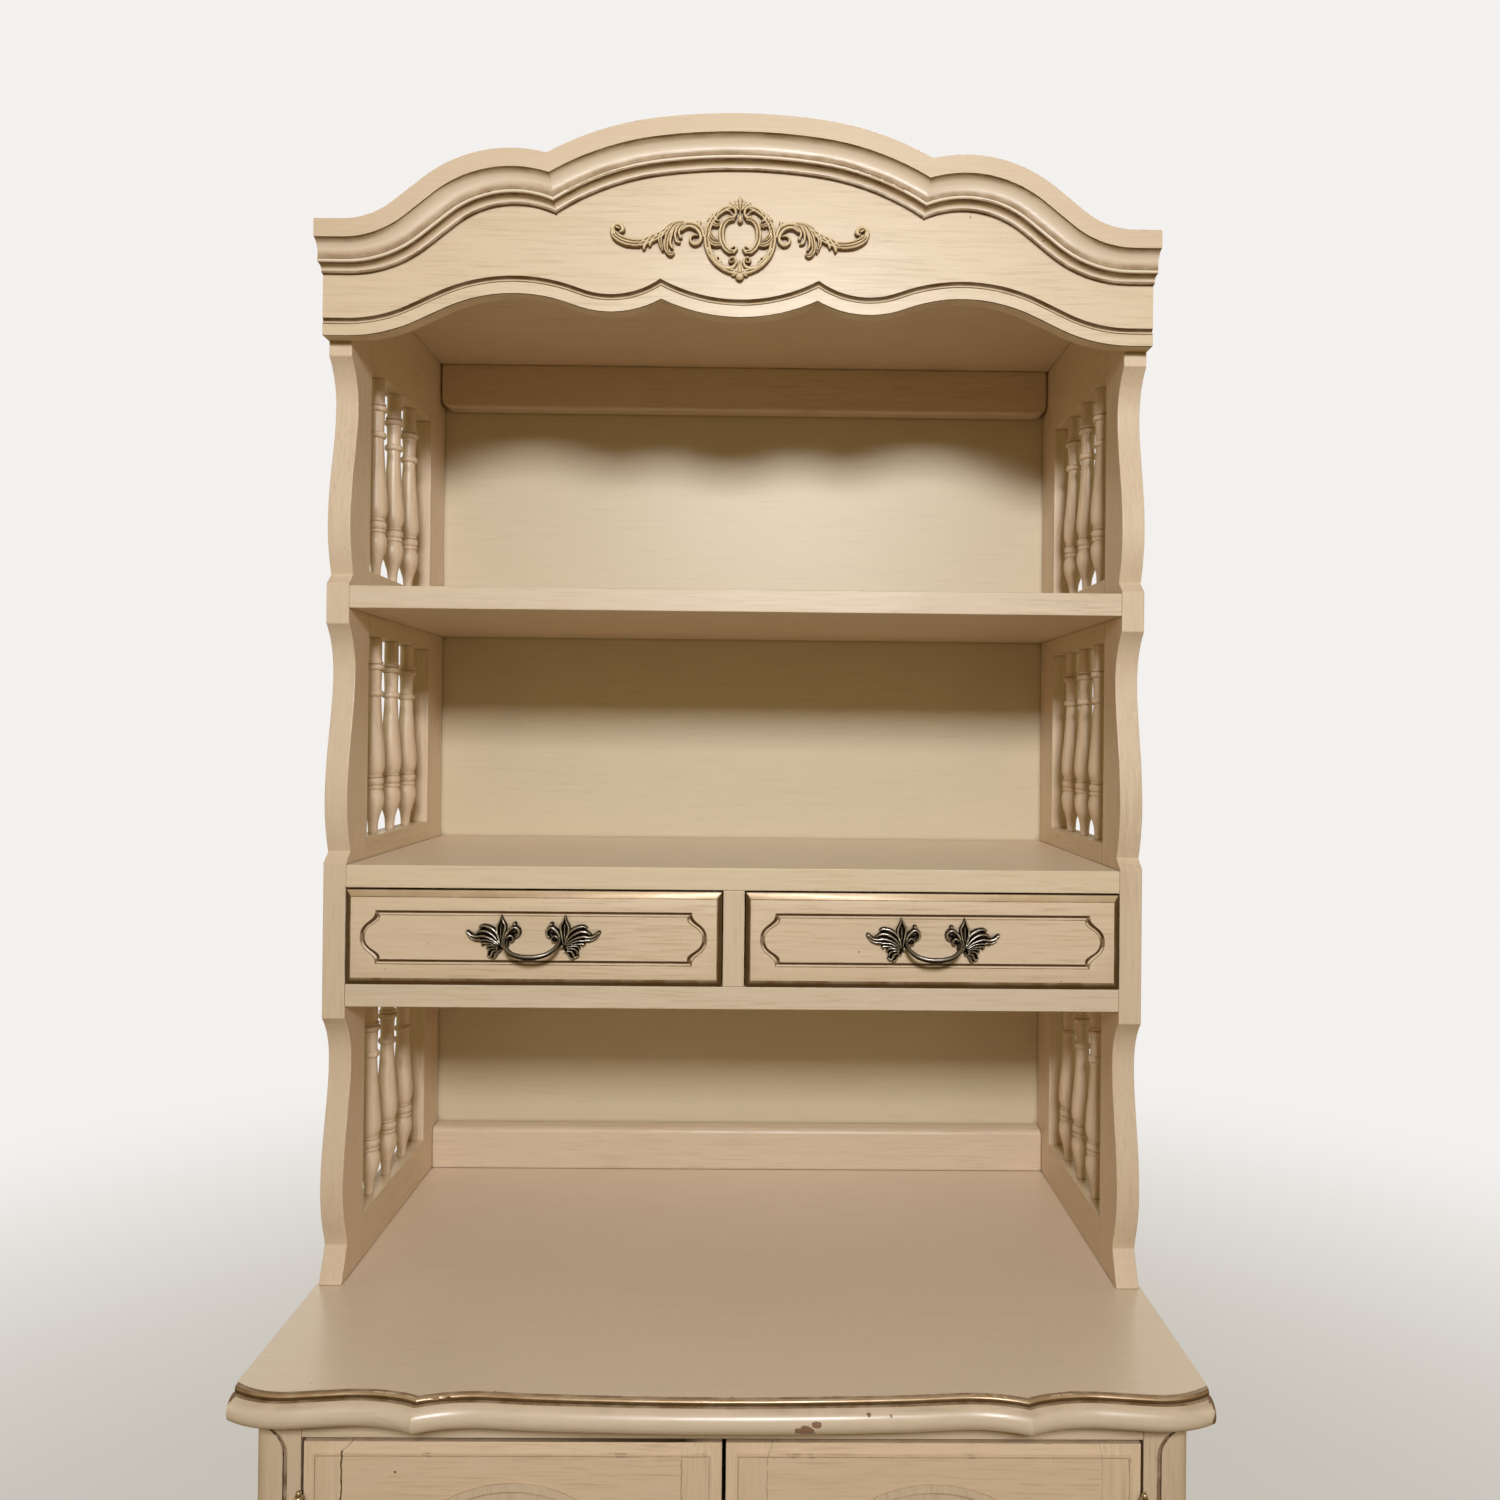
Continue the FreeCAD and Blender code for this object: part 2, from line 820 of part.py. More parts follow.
def bonnet_cartouche():
    """A ring with a palmette above and a bud below, a scrolled inner frame, and two arms."""
    ring = oval_band(ring_half_width, ring_half_height, ring_band, cartouche_thick)
    frame = oval_band(frame_half_width, frame_half_height, frame_band, cartouche_thick + 1)
    middle = [
        petal(16, 8, cartouche_thick + 1, 90, (0, 22)),
        petal(12, 9, cartouche_thick, -90, (0, -25)),
        petal(12, 6, cartouche_thick, -90, (0, -14)),
    ]
    half = cartouche_arm() + cartouche_half()
    carving = fused([ring, frame] + middle + half + [mirrored(piece) for piece in half])
    hole_half_width = frame_half_width - frame_band
    hole = ellipse_prism(hole_half_width, frame_half_height - frame_band, 2 * cartouche_thick)
    carving = carving.cut(hole)
    carving.translate(V(0, frieze_face, cartouche_z))
    return carving


parts["bonnet_frieze"] = [bonnet_frieze()]
parts["bonnet_crown"] = [bonnet_crown()]
parts["bonnet_glue_blocks"] = glue_blocks()
parts["bonnet_cartouche"] = [bonnet_cartouche()]


# ---------------------------------------------------------------- drawers
drawer_x0 = -inner_half
drawer_x1 = -divider / 2
drawer_middle_x = (drawer_x0 + drawer_x1) / 2
front_x0 = drawer_x0 + drawer_side_gap
front_x1 = drawer_x1 - drawer_side_gap
front_z0 = case_floor + drawer_run_gap
front_z1 = case_ceiling - drawer_top_gap
front_middle_z = (front_z0 + front_z1) / 2
drawer_face = hutch_front - drawer_front_proud
front_back = hutch_front + drawer_front_thick - drawer_front_proud
drawer_end = drawer_face + drawer_depth
box_x0 = drawer_x0 + drawer_box_gap
box_x1 = drawer_x1 - drawer_box_gap
drawer_bottom_z = front_z0 + drawer_bottom_up


def rectangle(x0, x1, z0, z1, y):
    return Part.makePolygon([V(x0, y, z0), V(x1, y, z0), V(x1, y, z1), V(x0, y, z1), V(x0, y, z0)])


def routed_outline(grow, y):
    """A panel outline with straight long sides and ogee ends, about the drawer front's middle."""
    half_w = routing_half_width + grow
    half_h = routing_half_height + grow
    tip = routing_bulge

    def at(x, z):
        return V(drawer_middle_x + x, y, front_middle_z + z)

    def end(side):
        return [
            bezier(
                at(side * half_w, -half_h),
                at(side * (half_w - 1), -half_h * 0.55),
                at(side * (half_w + tip), -half_h * 0.62),
                at(side * (half_w + tip), 0),
            ),
            bezier(
                at(side * (half_w + tip), 0),
                at(side * (half_w + tip), half_h * 0.62),
                at(side * (half_w - 1), half_h * 0.55),
                at(side * half_w, half_h),
            ),
        ]

    edges = end(1) + end(-1)
    edges.append(line(at(-half_w, half_h), at(half_w, half_h)))
    edges.append(line(at(-half_w, -half_h), at(half_w, -half_h)))
    return Part.Wire(Part.sortEdges(edges)[0])


def routed_groove():
    """A V-shaped groove with a narrow floor, along the outline."""
    floor_y = drawer_face + routing_depth
    wall = (routing_width - routing_floor) / 2
    outside = [routed_outline(0, drawer_face), routed_outline(-wall, floor_y)]
    inside = [routed_outline(-routing_width, drawer_face), routed_outline(-wall - routing_floor, floor_y)]
    return Part.makeLoft(outside, True, True).cut(Part.makeLoft(inside, True, True))


def opposite(shape):
    """The same shape at the other side of the left drawer."""
    return shape.mirror(V(drawer_middle_x, 0, 0), RIGHT)


def pull_screw_places():
    """Where the pull's two screws pass through the front's face."""
    z = front_middle_z - pull_screw_drop
    return [V(drawer_middle_x + side * pull_screw_half, drawer_face, z) for side in (-1, 1)]


def dovetail_tails():
    """Tails on the front end of the left side board, wider at their tips."""
    tails = []
    pitch = drawer_side_height / dovetails
    for i in range(dovetails):
        middle_z = front_z0 + pitch * (i + 0.5)
        tip_y = front_back - dovetail_length
        corners = [
            V(box_x0, front_back, middle_z - dovetail_root / 2),
            V(box_x0, front_back, middle_z + dovetail_root / 2),
            V(box_x0, tip_y, middle_z + dovetail_tip / 2),
            V(box_x0, tip_y, middle_z - dovetail_tip / 2),
        ]
        tails.append(polygon_prism(corners, RIGHT * drawer_side_thick))
    return tails


def drawer_front():
    slab = box(front_x0, front_x1, hutch_front, front_back, front_z0, front_z1)
    bevel = Part.makeLoft(
        [
            rectangle(front_x0, front_x1, front_z0, front_z1, hutch_front),
            rectangle(
                front_x0 + drawer_bevel,
                front_x1 - drawer_bevel,
                front_z0 + drawer_bevel,
                front_z1 - drawer_bevel,
                drawer_face,
            ),
        ],
        True,
        True,
    )
    front = slab.fuse(bevel).removeSplitter()
    front = front.cut(routed_groove())
    for place in pull_screw_places():
        hole_radius = pull_screw_radius + pull_screw_clear
        front = front.cut(Part.makeCylinder(hole_radius, drawer_front_thick + 2, place + FRONT, BACK))
    for tail in dovetail_tails():
        front = front.cut(tail)
        front = front.cut(opposite(tail))
    groove = box(
        box_x0 + drawer_side_thick - groove_bite,
        box_x1 - drawer_side_thick + groove_bite,
        front_back - groove_bite,
        front_back,
        drawer_bottom_z - panel_slack / 2,
        drawer_bottom_z + drawer_bottom_thick + panel_slack / 2,
    )
    return front.cut(groove)


def drawer_sides():
    side = box(
        box_x0, box_x0 + drawer_side_thick, front_back, drawer_end, front_z0, front_z0 + drawer_side_height
    )
    side = fused([side] + dovetail_tails())
    groove = box(
        box_x0 + drawer_side_thick - groove_bite,
        box_x0 + drawer_side_thick,
        front_back - groove_bite,
        drawer_end,
        drawer_bottom_z - panel_slack / 2,
        drawer_bottom_z + drawer_bottom_thick + panel_slack / 2,
    )
    side = side.cut(groove)
    return [side, opposite(side)]


def drawer_back():
    z_low = drawer_bottom_z + drawer_bottom_thick + panel_slack / 2
    return box(
        box_x0 + drawer_side_thick,
        box_x1 - drawer_side_thick,
        drawer_end - drawer_side_thick,
        drawer_end,
        z_low,
        z_low + drawer_back_height - drawer_bottom_up,
    )


def drawer_bottom():
    bite = groove_bite - panel_slack
    return box(
        box_x0 + drawer_side_thick - bite,
        box_x1 - drawer_side_thick + bite,
        front_back - bite,
        drawer_end,
        drawer_bottom_z,
        drawer_bottom_z + drawer_bottom_thick,
    )


def pull_leaves():
    """Right half of the plates behind the bail, about the pull's middle: a long side leaf with its
    lower lobes, an upright spike, and an inner curl with a volute."""
    thick = 3.2
    bud = Part.makeCone(2.4, 1.3, thick + 1, V(16.0, 0, 8.6), FRONT)
    return [
        blade([(27.0, -7.0), (38.0, 5.0), (50.0, 8.0), (57.5, -3.0), (61.6, 1.5)], [6, 15, 16, 8, 2], thick),
        blade([(30.0, -7.0), (40.0, -6.0), (47.5, -9.0)], [5, 9, 2], thick),
        blade([(28.0, -8.0), (40.0, -8.0), (41.0, -16.0), (35.5, -21.5)], [6, 11, 11, 2.5], thick),
        petal(26.5, 9.5, thick, 88, (28.6, -8.0)),
        blade([(26.5, -9.0), (23.0, 9.0), (12.0, 12.0), (10.0, 0.0), (17.0, -3.0)], [6, 8, 8, 7, 3], thick),
        volute(19.5, -3.0, 3.6, thick + 2),
        bud,
    ]


def drawer_pull():
    """One casting: two leaf clusters and a bail between them, with its two screws."""
    boss_out = 8.0
    bail_radius = 2.7
    bail_root = (24.0, -4.0)
    bail_drop = 15.8
    bail_out = 22.0

    def bail_points(side):
        """From a boss to the lowest point of the bail, in the middle."""
        x = side * bail_root[0]
        return [
            V(x, -bail_radius, bail_root[1]),
            V(x * 1.04, -boss_out - 8, bail_root[1] - 9),
            V(x * 0.55, -bail_out, -bail_drop),
            V(0, -bail_out, -bail_drop),
        ]

    half = pull_leaves()
    half.append(Part.makeCone(6.5, 4.0, boss_out, V(pull_screw_half - 1, 0, -pull_screw_drop), FRONT))
    left_points = bail_points(-1)
    path = Part.Wire([bezier(*left_points), bezier(*reversed(bail_points(1)))])
    section = Part.Wire(Part.Circle(left_points[0], left_points[1] - left_points[0], bail_radius).toShape())
    bail = path.makePipeShell([section], True, False)
    casting = fused(half + [mirrored(piece) for piece in half] + [bail])
    reach = routing_half_width
    casting = casting.cut(box(-reach, reach, 0, boss_out, -reach, reach))
    casting.translate(V(drawer_middle_x, drawer_face, front_middle_z))
    screws = []
    for foot in pull_screw_places():
        shank = Part.makeCylinder(pull_screw_radius, drawer_front_thick, foot, BACK)
        head = Part.makeCylinder(
            screw_head_radius, screw_head_thick, foot + BACK * drawer_front_thick, BACK
        )
        screws.append(shank.fuse(head).removeSplitter())
    return [casting] + screws


drawer_pieces = {
    "front": [drawer_front()],
    "sides": drawer_sides(),
    "back": [drawer_back()],
    "bottom": [drawer_bottom()],
    "pull": drawer_pull(),
}
for piece_name, solids in drawer_pieces.items():
    parts["drawer_left_" + piece_name] = solids
    parts["drawer_right_" + piece_name] = [mirrored(solid) for solid in solids]

stop_size = 18.0
stop_gap = 0.5
stop_x = drawer_middle_x - stop_size / 2
stop_y = drawer_end + stop_gap
parts["drawer_stops"] = pair(
    box(stop_x, stop_x + stop_size, stop_y, rear_post_back, case_floor, case_floor + stop_size)
)


# ---------------------------------------------------------------- base top
def top_edge_runs():
    """Edge of the top's upper surface, from the middle of the front round to the back right corner."""
    front_t = top_front_depth - back_y
    hollow_radius = 128.0
    runs = lay_out(
        (0.0, front_t),
        0.0,
        [
            arc(2700.0, -3.8),
            arc(hollow_radius, 26.4),
            -25.0,
            arc(hollow_radius, 30.4),
            straight(30.3),
        ],
    )
    corner_radius = 60.0
    nose_radius = 8.0
    last = runs[-1]
    centre_x = last.point(1)[0] + corner_radius * math.sin(math.radians(last.heading))
    reach = (top_side_half - nose_radius - centre_x) / (corner_radius - nose_radius)
    nose_heading = -math.degrees(math.asin(reach))
    corner = Run(last.point(1), last.heading, radius=corner_radius, turn=nose_heading - last.heading)
    nose = Run(corner.point(1), nose_heading, radius=nose_radius, turn=-90 - nose_heading)
    side = Run(nose.point(1), -90.0, length=nose.point(1)[1] + back_y)
    return runs + [corner, nose, side]


def top_lift(s, t, up):
    """The plan's t runs towards the front."""
    return V(s, -t, base_height + up)


def base_top():
    """Slab with a quirk and bead below the surface edge, then a fat ovolo that overhangs."""
    runs = top_edge_runs()

    def place(s, t):
        return top_lift(s, t, 0)

    edges = run_edges(runs, place)
    edges.append(line(place(*runs[-1].point(1)), V(0, back_y, base_height)))
    edges.append(line(V(0, back_y, base_height), place(*runs[0].point(0))))
    slab = prism(Part.sortEdges(edges)[0], UP * -top_thick)
    profile = [
        (0, -1.0),
        (1.1, -1.0),
        ((3.2, -1.7), (3.9, -4.0)),
        (3.9, -5.2),
        (4.8, -5.2),
        (5.2, -4.4),
        ((15.6, -14.2), (5.0, -top_thick)),
        (-6, -top_thick),
        (-6, 0),
    ]
    mouldings = sweep(runs, (0, 0), profile, top_lift)
    return whole([slab] + mouldings)


parts["base_top"] = [base_top()]


# ---------------------------------------------------------------- base posts and feet
def rounded_square(centre, half, corner):
    """A horizontal square wire with round corners."""
    flat = half - corner
    edges = []
    for quarter in range(4):
        turn = FreeCAD.Rotation(UP, 90 * quarter)
        a = turn.multVec(V(half, -flat, 0))
        b = turn.multVec(V(half, flat, 0))
        reach = flat + corner * math.sqrt(0.5)
        mid = turn.multVec(V(reach, reach, 0))
        c = turn.multVec(V(flat, half, 0))
        edges.append(line(centre + a, centre + b))
        edges.append(Part.Arc(centre + b, centre + mid, centre + c).toShape())
    return Part.Wire(edges)


def cabriole_leg(x, y):
    """Knee, slim ankle and a toe that turns out, along the diagonal of the left front corner."""
    out = V(-1, -1, 0).normalize()
    levels = [
        (leg_height + 12, 0.0, 16.5, 5.0),
        (leg_height - 20, 5.0, 20.0, 8.0),
        (leg_height - 50, 4.0, 17.5, 8.0),
        (leg_height - 92, -3.0, 11.0, 7.0),
        (30.0, 1.0, 11.0, 7.0),
        (14.0, 8.0, 14.5, 9.0),
        (glide_height, 8.0, 12.5, 8.0),
    ]
    wires = []
    for z, shift, half, corner in levels:
        centre = V(x, y, z) + out * shift
        wires.append(rounded_square(centre, half, corner))
    return Part.makeLoft(wires, True, False)


leg_x = -base_half + post_width / 2
leg_y = base_front + post_depth / 2 - 4


def post_groove():
    """Sunk line down the post's face. It leaves the outer edge in an S at the top and the bottom."""
    z_high = case_ceiling_base - 5.0
    z_low = leg_height + 22.0
    out_x = -base_half + 1
    in_x = -base_half + post_groove_in
    reach = post_groove_reach

    def side(shift):
        return [
            bezier(
                V(out_x + shift, base_front, z_high),
                V(out_x + shift + 9, base_front, z_high - 11),
                V(in_x + shift, base_front, z_high - 15),
                V(in_x + shift, base_front, z_high - reach),
            ),
            line(V(in_x + shift, base_front, z_high - reach), V(in_x + shift, base_front, z_low + reach)),
            bezier(
                V(in_x + shift, base_front, z_low + reach),
                V(in_x + shift, base_front, z_low + 15),
                V(out_x + shift + 9, base_front, z_low + 11),
                V(out_x + shift, base_front, z_low),
            ),
        ]

    edges = side(0) + side(post_groove_width)
    edges.append(line(V(out_x, base_front, z_high), V(out_x + post_groove_width, base_front, z_high)))
    edges.append(line(V(out_x, base_front, z_low), V(out_x + post_groove_width, base_front, z_low)))
    return prism(Part.sortEdges(edges)[0], BACK * post_groove_depth)


def base_front_post():
    x0 = -base_half
    post = box(x0, x0 + post_width, base_front, base_front + post_depth, leg_height, case_ceiling_base)
    upright = [edge for edge in post.Edges if is_along(edge, UP) and on_plane(edge, 0, x0)]
    corner = [edge for edge in upright if on_plane(edge, 1, base_front)]
    post = post.makeFillet(post_round, corner)
    post = post.cut(post_groove())
    return post.fuse(cabriole_leg(leg_x, leg_y)).removeSplitter()


rear_post_y0 = back_y - base_back_thick - rear_post_thick
rear_leg_x = -base_half + rear_post_width / 2
rear_leg_y = back_y - base_back_thick - rear_post_thick / 2


def base_rear_post():
    """Square post above, with a leg that tapers to the floor."""
    x0 = -base_half
    x1 = x0 + rear_post_width
    post = box(x0, x1, rear_post_y0, back_y - base_back_thick, leg_height, case_ceiling_base)
    wires = [
        rounded_square(V(rear_leg_x, rear_leg_y, leg_height + 2), 17.0, 3.0),
        rounded_square(V(rear_leg_x - 1, rear_leg_y, leg_height * 0.5), 13.5, 4.0),
        rounded_square(V(rear_leg_x - 3, rear_leg_y, glide_height), 11.5, 4.0),
    ]
    return post.fuse(Part.makeLoft(wires, True, False)).removeSplitter()


foot_shift = 8.0 * math.sqrt(0.5)
glide_places = [
    V(leg_x - foot_shift, leg_y - foot_shift, 0),
    V(rear_leg_x - 3, rear_leg_y, 0),
]
glides = []
for place in glide_places:
    glide = Part.makeCone(glide_radius - 1.5, glide_radius, glide_height, place)
    glides.extend(pair(glide))

parts["base_front_post_left"] = [base_front_post()]
parts["base_front_post_right"] = [mirrored(base_front_post())]
parts["base_rear_posts"] = pair(base_rear_post())
parts["foot_glides"] = glides


# ---------------------------------------------------------------- base case
side_x0 = -base_half + side_inset
side_x1 = side_x0 + side_thick
side_y0 = base_front + post_depth
side_y1 = rear_post_y0


def base_side():
    """Side panel with a scalloped lower edge between the posts."""
    drop = 100.0
    rise = floor_top - floor_thick - 18.0
    belly = rise - 12.0
    middle = (side_y0 + side_y1) / 2

    def at(y, z):
        return V(side_x0, y, z)

    def half_scallop(end_y):
        """From the post at end_y, up to the hollow's top and down to the belly in the middle."""
        side = math.copysign(1, middle - end_y)
        top_y = end_y + side * 95
        near_y = end_y + side * 40
        return [
            bezier(at(end_y, drop), at(near_y, drop), at(near_y, rise), at(top_y, rise)),
            bezier(
                at(top_y, rise),
                at(middle - side * 40, rise),
                at(middle - side * 20, belly),
                at(middle, belly),
            ),
        ]

    edges = half_scallop(side_y0) + half_scallop(side_y1) + [
        line(at(side_y1, drop), at(side_y1, case_ceiling_base)),
        line(at(side_y1, case_ceiling_base), at(side_y0, case_ceiling_base)),
        line(at(side_y0, case_ceiling_base), at(side_y0, drop)),
    ]
    panel = prism(Part.sortEdges(edges)[0], RIGHT * side_thick)
    for place in shelf_pin_places():
        hole = Part.makeCylinder(pin_radius + panel_slack / 2, pin_bite, place, RIGHT * -1)
        panel = panel.cut(hole)
    return panel


def shelf_pin_places():
    """Where the shelf pins leave the left side panel's inner face."""
    z = shelf_top - shelf_thick - pin_radius
    inset = 50.0
    return [V(side_x1, side_y0 + inset, z), V(side_x1, side_y1 - inset, z)]


def shelf_pins():
    pins = []
    for place in shelf_pin_places():
        root = place - RIGHT * (pin_bite - panel_slack)
        pins.extend(pair(Part.makeCylinder(pin_radius, pin_length, root, RIGHT)))
    return pins


def base_apron():
    """Rail under the doors with a scalloped lower edge: a drop in the middle between two hollows."""
    half = base_half - post_width
    runs = lay_out(
        (0.0, floor_top - 68.0),
        0.0,
        [
            arc(70.0, 38.0),
            straight(14.0),
            arc(90.0, -38.0),
            straight(60.0),
            arc(80.0, -40.0),
        ],
    )
    end = runs[-1].point(1)
    runs.append(Run(end, runs[-1].heading_at(1), length=8.0))
    tip = runs[-1].point(1)

    def place(s, t):
        return V(s, base_front, t)

    edges = run_edges(runs, place)
    edges.append(line(place(*tip), place(half, tip[1])))
    edges.append(line(place(half, tip[1]), place(half, floor_top)))
    edges.append(line(place(half, floor_top), place(0, floor_top)))
    edges.append(line(place(0, floor_top), place(*runs[0].point(0))))
    return whole([prism(Part.sortEdges(edges)[0], BACK * rail_thick)])


rail_half = base_half - post_width
back_rail_half = base_half - rear_post_width
case_inside = base_front + rail_thick
parts["base_side_left"] = [base_side()]
parts["base_side_right"] = [mirrored(base_side())]
parts["base_top_rail"] = [
    box(-rail_half, rail_half, base_front, case_inside, case_ceiling_base - rail_height, case_ceiling_base)
]
parts["base_apron"] = [base_apron()]
back_rail_y1 = back_y - base_back_thick
back_rail_y0 = back_rail_y1 - rail_thick


def base_bottom():
    """Floor board, notched round the four posts."""
    slab = box(side_x1, -side_x1, case_inside, back_rail_y0, floor_top - floor_thick, floor_top)
    notches = [
        box(-base_half, -rail_half, base_front, side_y0, 0, base_height),
        box(-base_half, -back_rail_half, side_y1, back_y, 0, base_height),
    ]
    for notch in notches:
        for cut in pair(notch):
            slab = slab.cut(cut)
    return slab


parts["base_bottom"] = [base_bottom()]
parts["base_back_rails"] = [
    box(-back_rail_half, back_rail_half, back_rail_y0, back_rail_y1, z_high - rail_depth, z_high)
    for z_high, rail_depth in ((case_ceiling_base, 45.0), (floor_top, 60.0))
]
parts["base_back_panel"] = [
    box(-base_half + 6, base_half - 6, back_rail_y1, back_y, floor_top - 50, case_ceiling_base)
]
parts["base_shelf"] = [
    box(
        -base_shelf_half,
        base_shelf_half,
        side_y0 + 6,
        side_y1 - 2,
        shelf_top - shelf_thick,
        shelf_top,
    )
]
parts["shelf_pins"] = shelf_pins()


# ---------------------------------------------------------------- doors
def door_arch_runs():
    """Inner edge of a door's top rail, from its middle outwards: a round arch that eases into a
    level shoulder."""
    arch_radius = 111.0
    arch_turn = 32.0
    arch_fall = arch_radius * (1 - math.cos(math.radians(arch_turn)))
    ease_radius = (arch_drop - arch_fall) / (1 - math.cos(math.radians(arch_turn)))
    runs = lay_out(
        (0.0, 0.0),
        0.0,
        [arc(arch_radius, -arch_turn), arc(ease_radius, arch_turn)],
    )
    end = runs[-1].point(1)
    runs.append(Run(end, 0.0, length=door_width / 2 - stile_width - end[0]))
    return runs


door_middle_x = -(door_outer + door_inner) / 2
door_middle_z = (door_top + door_bottom) / 2


def door_opening_edges(grow, y):
    """The closed edge of the panel opening: the arch at the top, the same arch upside down below."""
    runs = door_arch_runs()
    edges = []
    for x_side in (-1, 1):
        for z_side in (-1, 1):

            def place(s, t):
                half = (door_height / 2 - door_rail_height) + t
                return V(door_middle_x + x_side * s, y, door_middle_z + z_side * half)

            edges.extend(run_edges(runs, place))
    half_w = door_width / 2 - stile_width
    half_h = door_height / 2 - door_rail_height - arch_drop
    for x_side in (-1, 1):
        x = door_middle_x + x_side * half_w
        edges.append(line(V(x, y, door_middle_z - half_h), V(x, y, door_middle_z + half_h)))
    wire = Part.Wire(Part.sortEdges(edges)[0])
    if grow:
        wire = wire.makeOffset2D(grow, 2)
    return wire


def door_blank():
    """A door before its opening is cut: the front edge slopes away to a lip that ends in a step."""
    x0 = -door_outer
    x1 = -door_inner
    lip_face = door_face + lip_drop
    back = box(x0, x1, lip_face, door_back, door_bottom, door_top)
    inner = (x0 + lip_width, x1 - lip_width, door_bottom + lip_width, door_top - lip_width)
    slope = Part.makeLoft(
        [rectangle(x0, x1, door_bottom, door_top, lip_face), rectangle(*inner, door_face + lip_step)],
        True,
        True,
    )
    field = box(inner[0], inner[1], door_face, door_back, inner[2], inner[3])
    blank = back.fuse([slope, field]).removeSplitter()
    return blank.cut(door_lip_line())


def door_lip_line():
    """Fine sunk line round the door, just inside the lip."""
    blocks = []
    for inset in (lip_width + lip_line_in, lip_width + lip_line_in + lip_line_width):
        blocks.append(
            box(
                -door_outer + inset,
                -door_inner - inset,
                door_face - 1,
                door_face + lip_line_depth,
                door_bottom + inset,
                door_top - inset,
            )
        )
    return blocks[0].cut(blocks[1])


def door_frame():
    """Two stiles over the whole height, and two rails between them with shaped inner edges."""
    slab = door_blank()
    opening = Part.Face(door_opening_edges(0, door_face - 1)).extrude(BACK * (door_thick + 2))
    rebate_y = door_back - door_panel_back
    rebate = box(
        -door_outer + stile_width - rebate_width,
        -door_inner - stile_width + rebate_width,
        rebate_y,
        door_back + 1,
        door_bottom + door_rail_height - rebate_width,
        door_top - door_rail_height + rebate_width,
    )
    frame = slab.cut(opening).cut(rebate)
    left = box(-door_outer, -door_outer + stile_width, door_face - 1, door_back + 1, 0, base_height)
    right = box(-door_inner - stile_width, -door_inner, door_face - 1, door_back + 1, 0, base_height)
    middle = box(
        -door_outer + stile_width, -door_inner - stile_width, door_face - 1, door_back + 1, 0, base_height
    )
    stiles = [frame.common(left), frame.common(right)]
    rails = frame.common(middle).Solids
    screw_hole = Part.makeCylinder(
        pull_screw_radius + pull_screw_clear, door_thick + 2, knob_place + FRONT, BACK
    )
    stiles = [stile.cut(screw_hole) for stile in stiles]
    return stiles + rails


knob_place = V(-door_inner - stile_width / 2 - 1, door_face, door_middle_z + 30)


def door_panel():
    """Panel in the rebate, with its raised field filling the arched opening."""
    rebate_y = door_back - door_panel_back
    slack = 0.5
    plate = box(
        -door_outer + stile_width - rebate_width + slack,
        -door_inner - stile_width + rebate_width - slack,
        rebate_y,
        rebate_y + door_panel_thick,
        door_bottom + door_rail_height - rebate_width + slack,
        door_top - door_rail_height + rebate_width - slack,
    )
    field = Part.Face(door_opening_edges(-slack, rebate_y)).extrude(FRONT * door_field_rise)
    return plate.fuse(field).removeSplitter()


def door_moulding():
    """Bead planted inside the opening, from the panel's field to just proud of the frame."""
    low_y = door_back - door_panel_back - door_field_rise
    high_y = door_face - moulding_proud
    outer = Part.Face(door_opening_edges(0, low_y))
    inner = Part.Face(door_opening_edges(-moulding_width, low_y))
    return outer.cut(inner).extrude(FRONT * (low_y - high_y))


def door_knob():
    """Cast rosette and button, with the screw that holds it from behind."""
    steps = [
        (0, 0),
        (14, 0),
        (14, 1.6),
        ((10, 3.6), (5, 4.5)),
        ((4.2, 9), (6, 13)),
        ((13.2, 16), (9, 21.5)),
        ((5.5, 23.0), (1.5, 23.8)),
        (0, 23.8),
    ]
    knob = turned(steps, V(0, 0, 0))
    knob.rotate(V(0, 0, 0), RIGHT, 90)
    knob.translate(knob_place)
    shank = Part.makeCylinder(pull_screw_radius, door_thick, knob_place, BACK)
    head = Part.makeCylinder(screw_head_radius, screw_head_thick, knob_place + BACK * door_thick, BACK)
    return [knob, shank.fuse(head).removeSplitter()]


# ---------------------------------------------------------------- hinges
hinge_x = -(door_outer + door_gap / 2)
hinge_y = door_face - knuckle_radius - hinge_clear
hinge_levels = [door_top - hinge_inset - hinge_length, door_bottom + hinge_inset]


def hinge_leaf(side, z_low, knuckle_spans):
    """A leaf in the gap beside the door, with its knuckles. side is -1 at the post, 1 at the door."""
    outer = side * door_gap / 2
    inner = side * (door_gap / 2 - hinge_leaf_thick)
    x0 = hinge_x + min(outer, inner)
    x1 = hinge_x + max(outer, inner)
    reach = knuckle_radius + 0.5
    leaf = box(x0, x1, hinge_y + reach, hinge_y + reach + hinge_leaf_depth, z_low, z_low + hinge_length)
    pieces = [leaf]
    for span_low, span_high in knuckle_spans:
        length = span_high - span_low
        pieces.append(Part.makeCylinder(knuckle_radius, length, V(hinge_x, hinge_y, span_low)))
        pieces.append(box(x0, x1, hinge_y, hinge_y + reach, span_low, span_high))
    return fused(pieces)


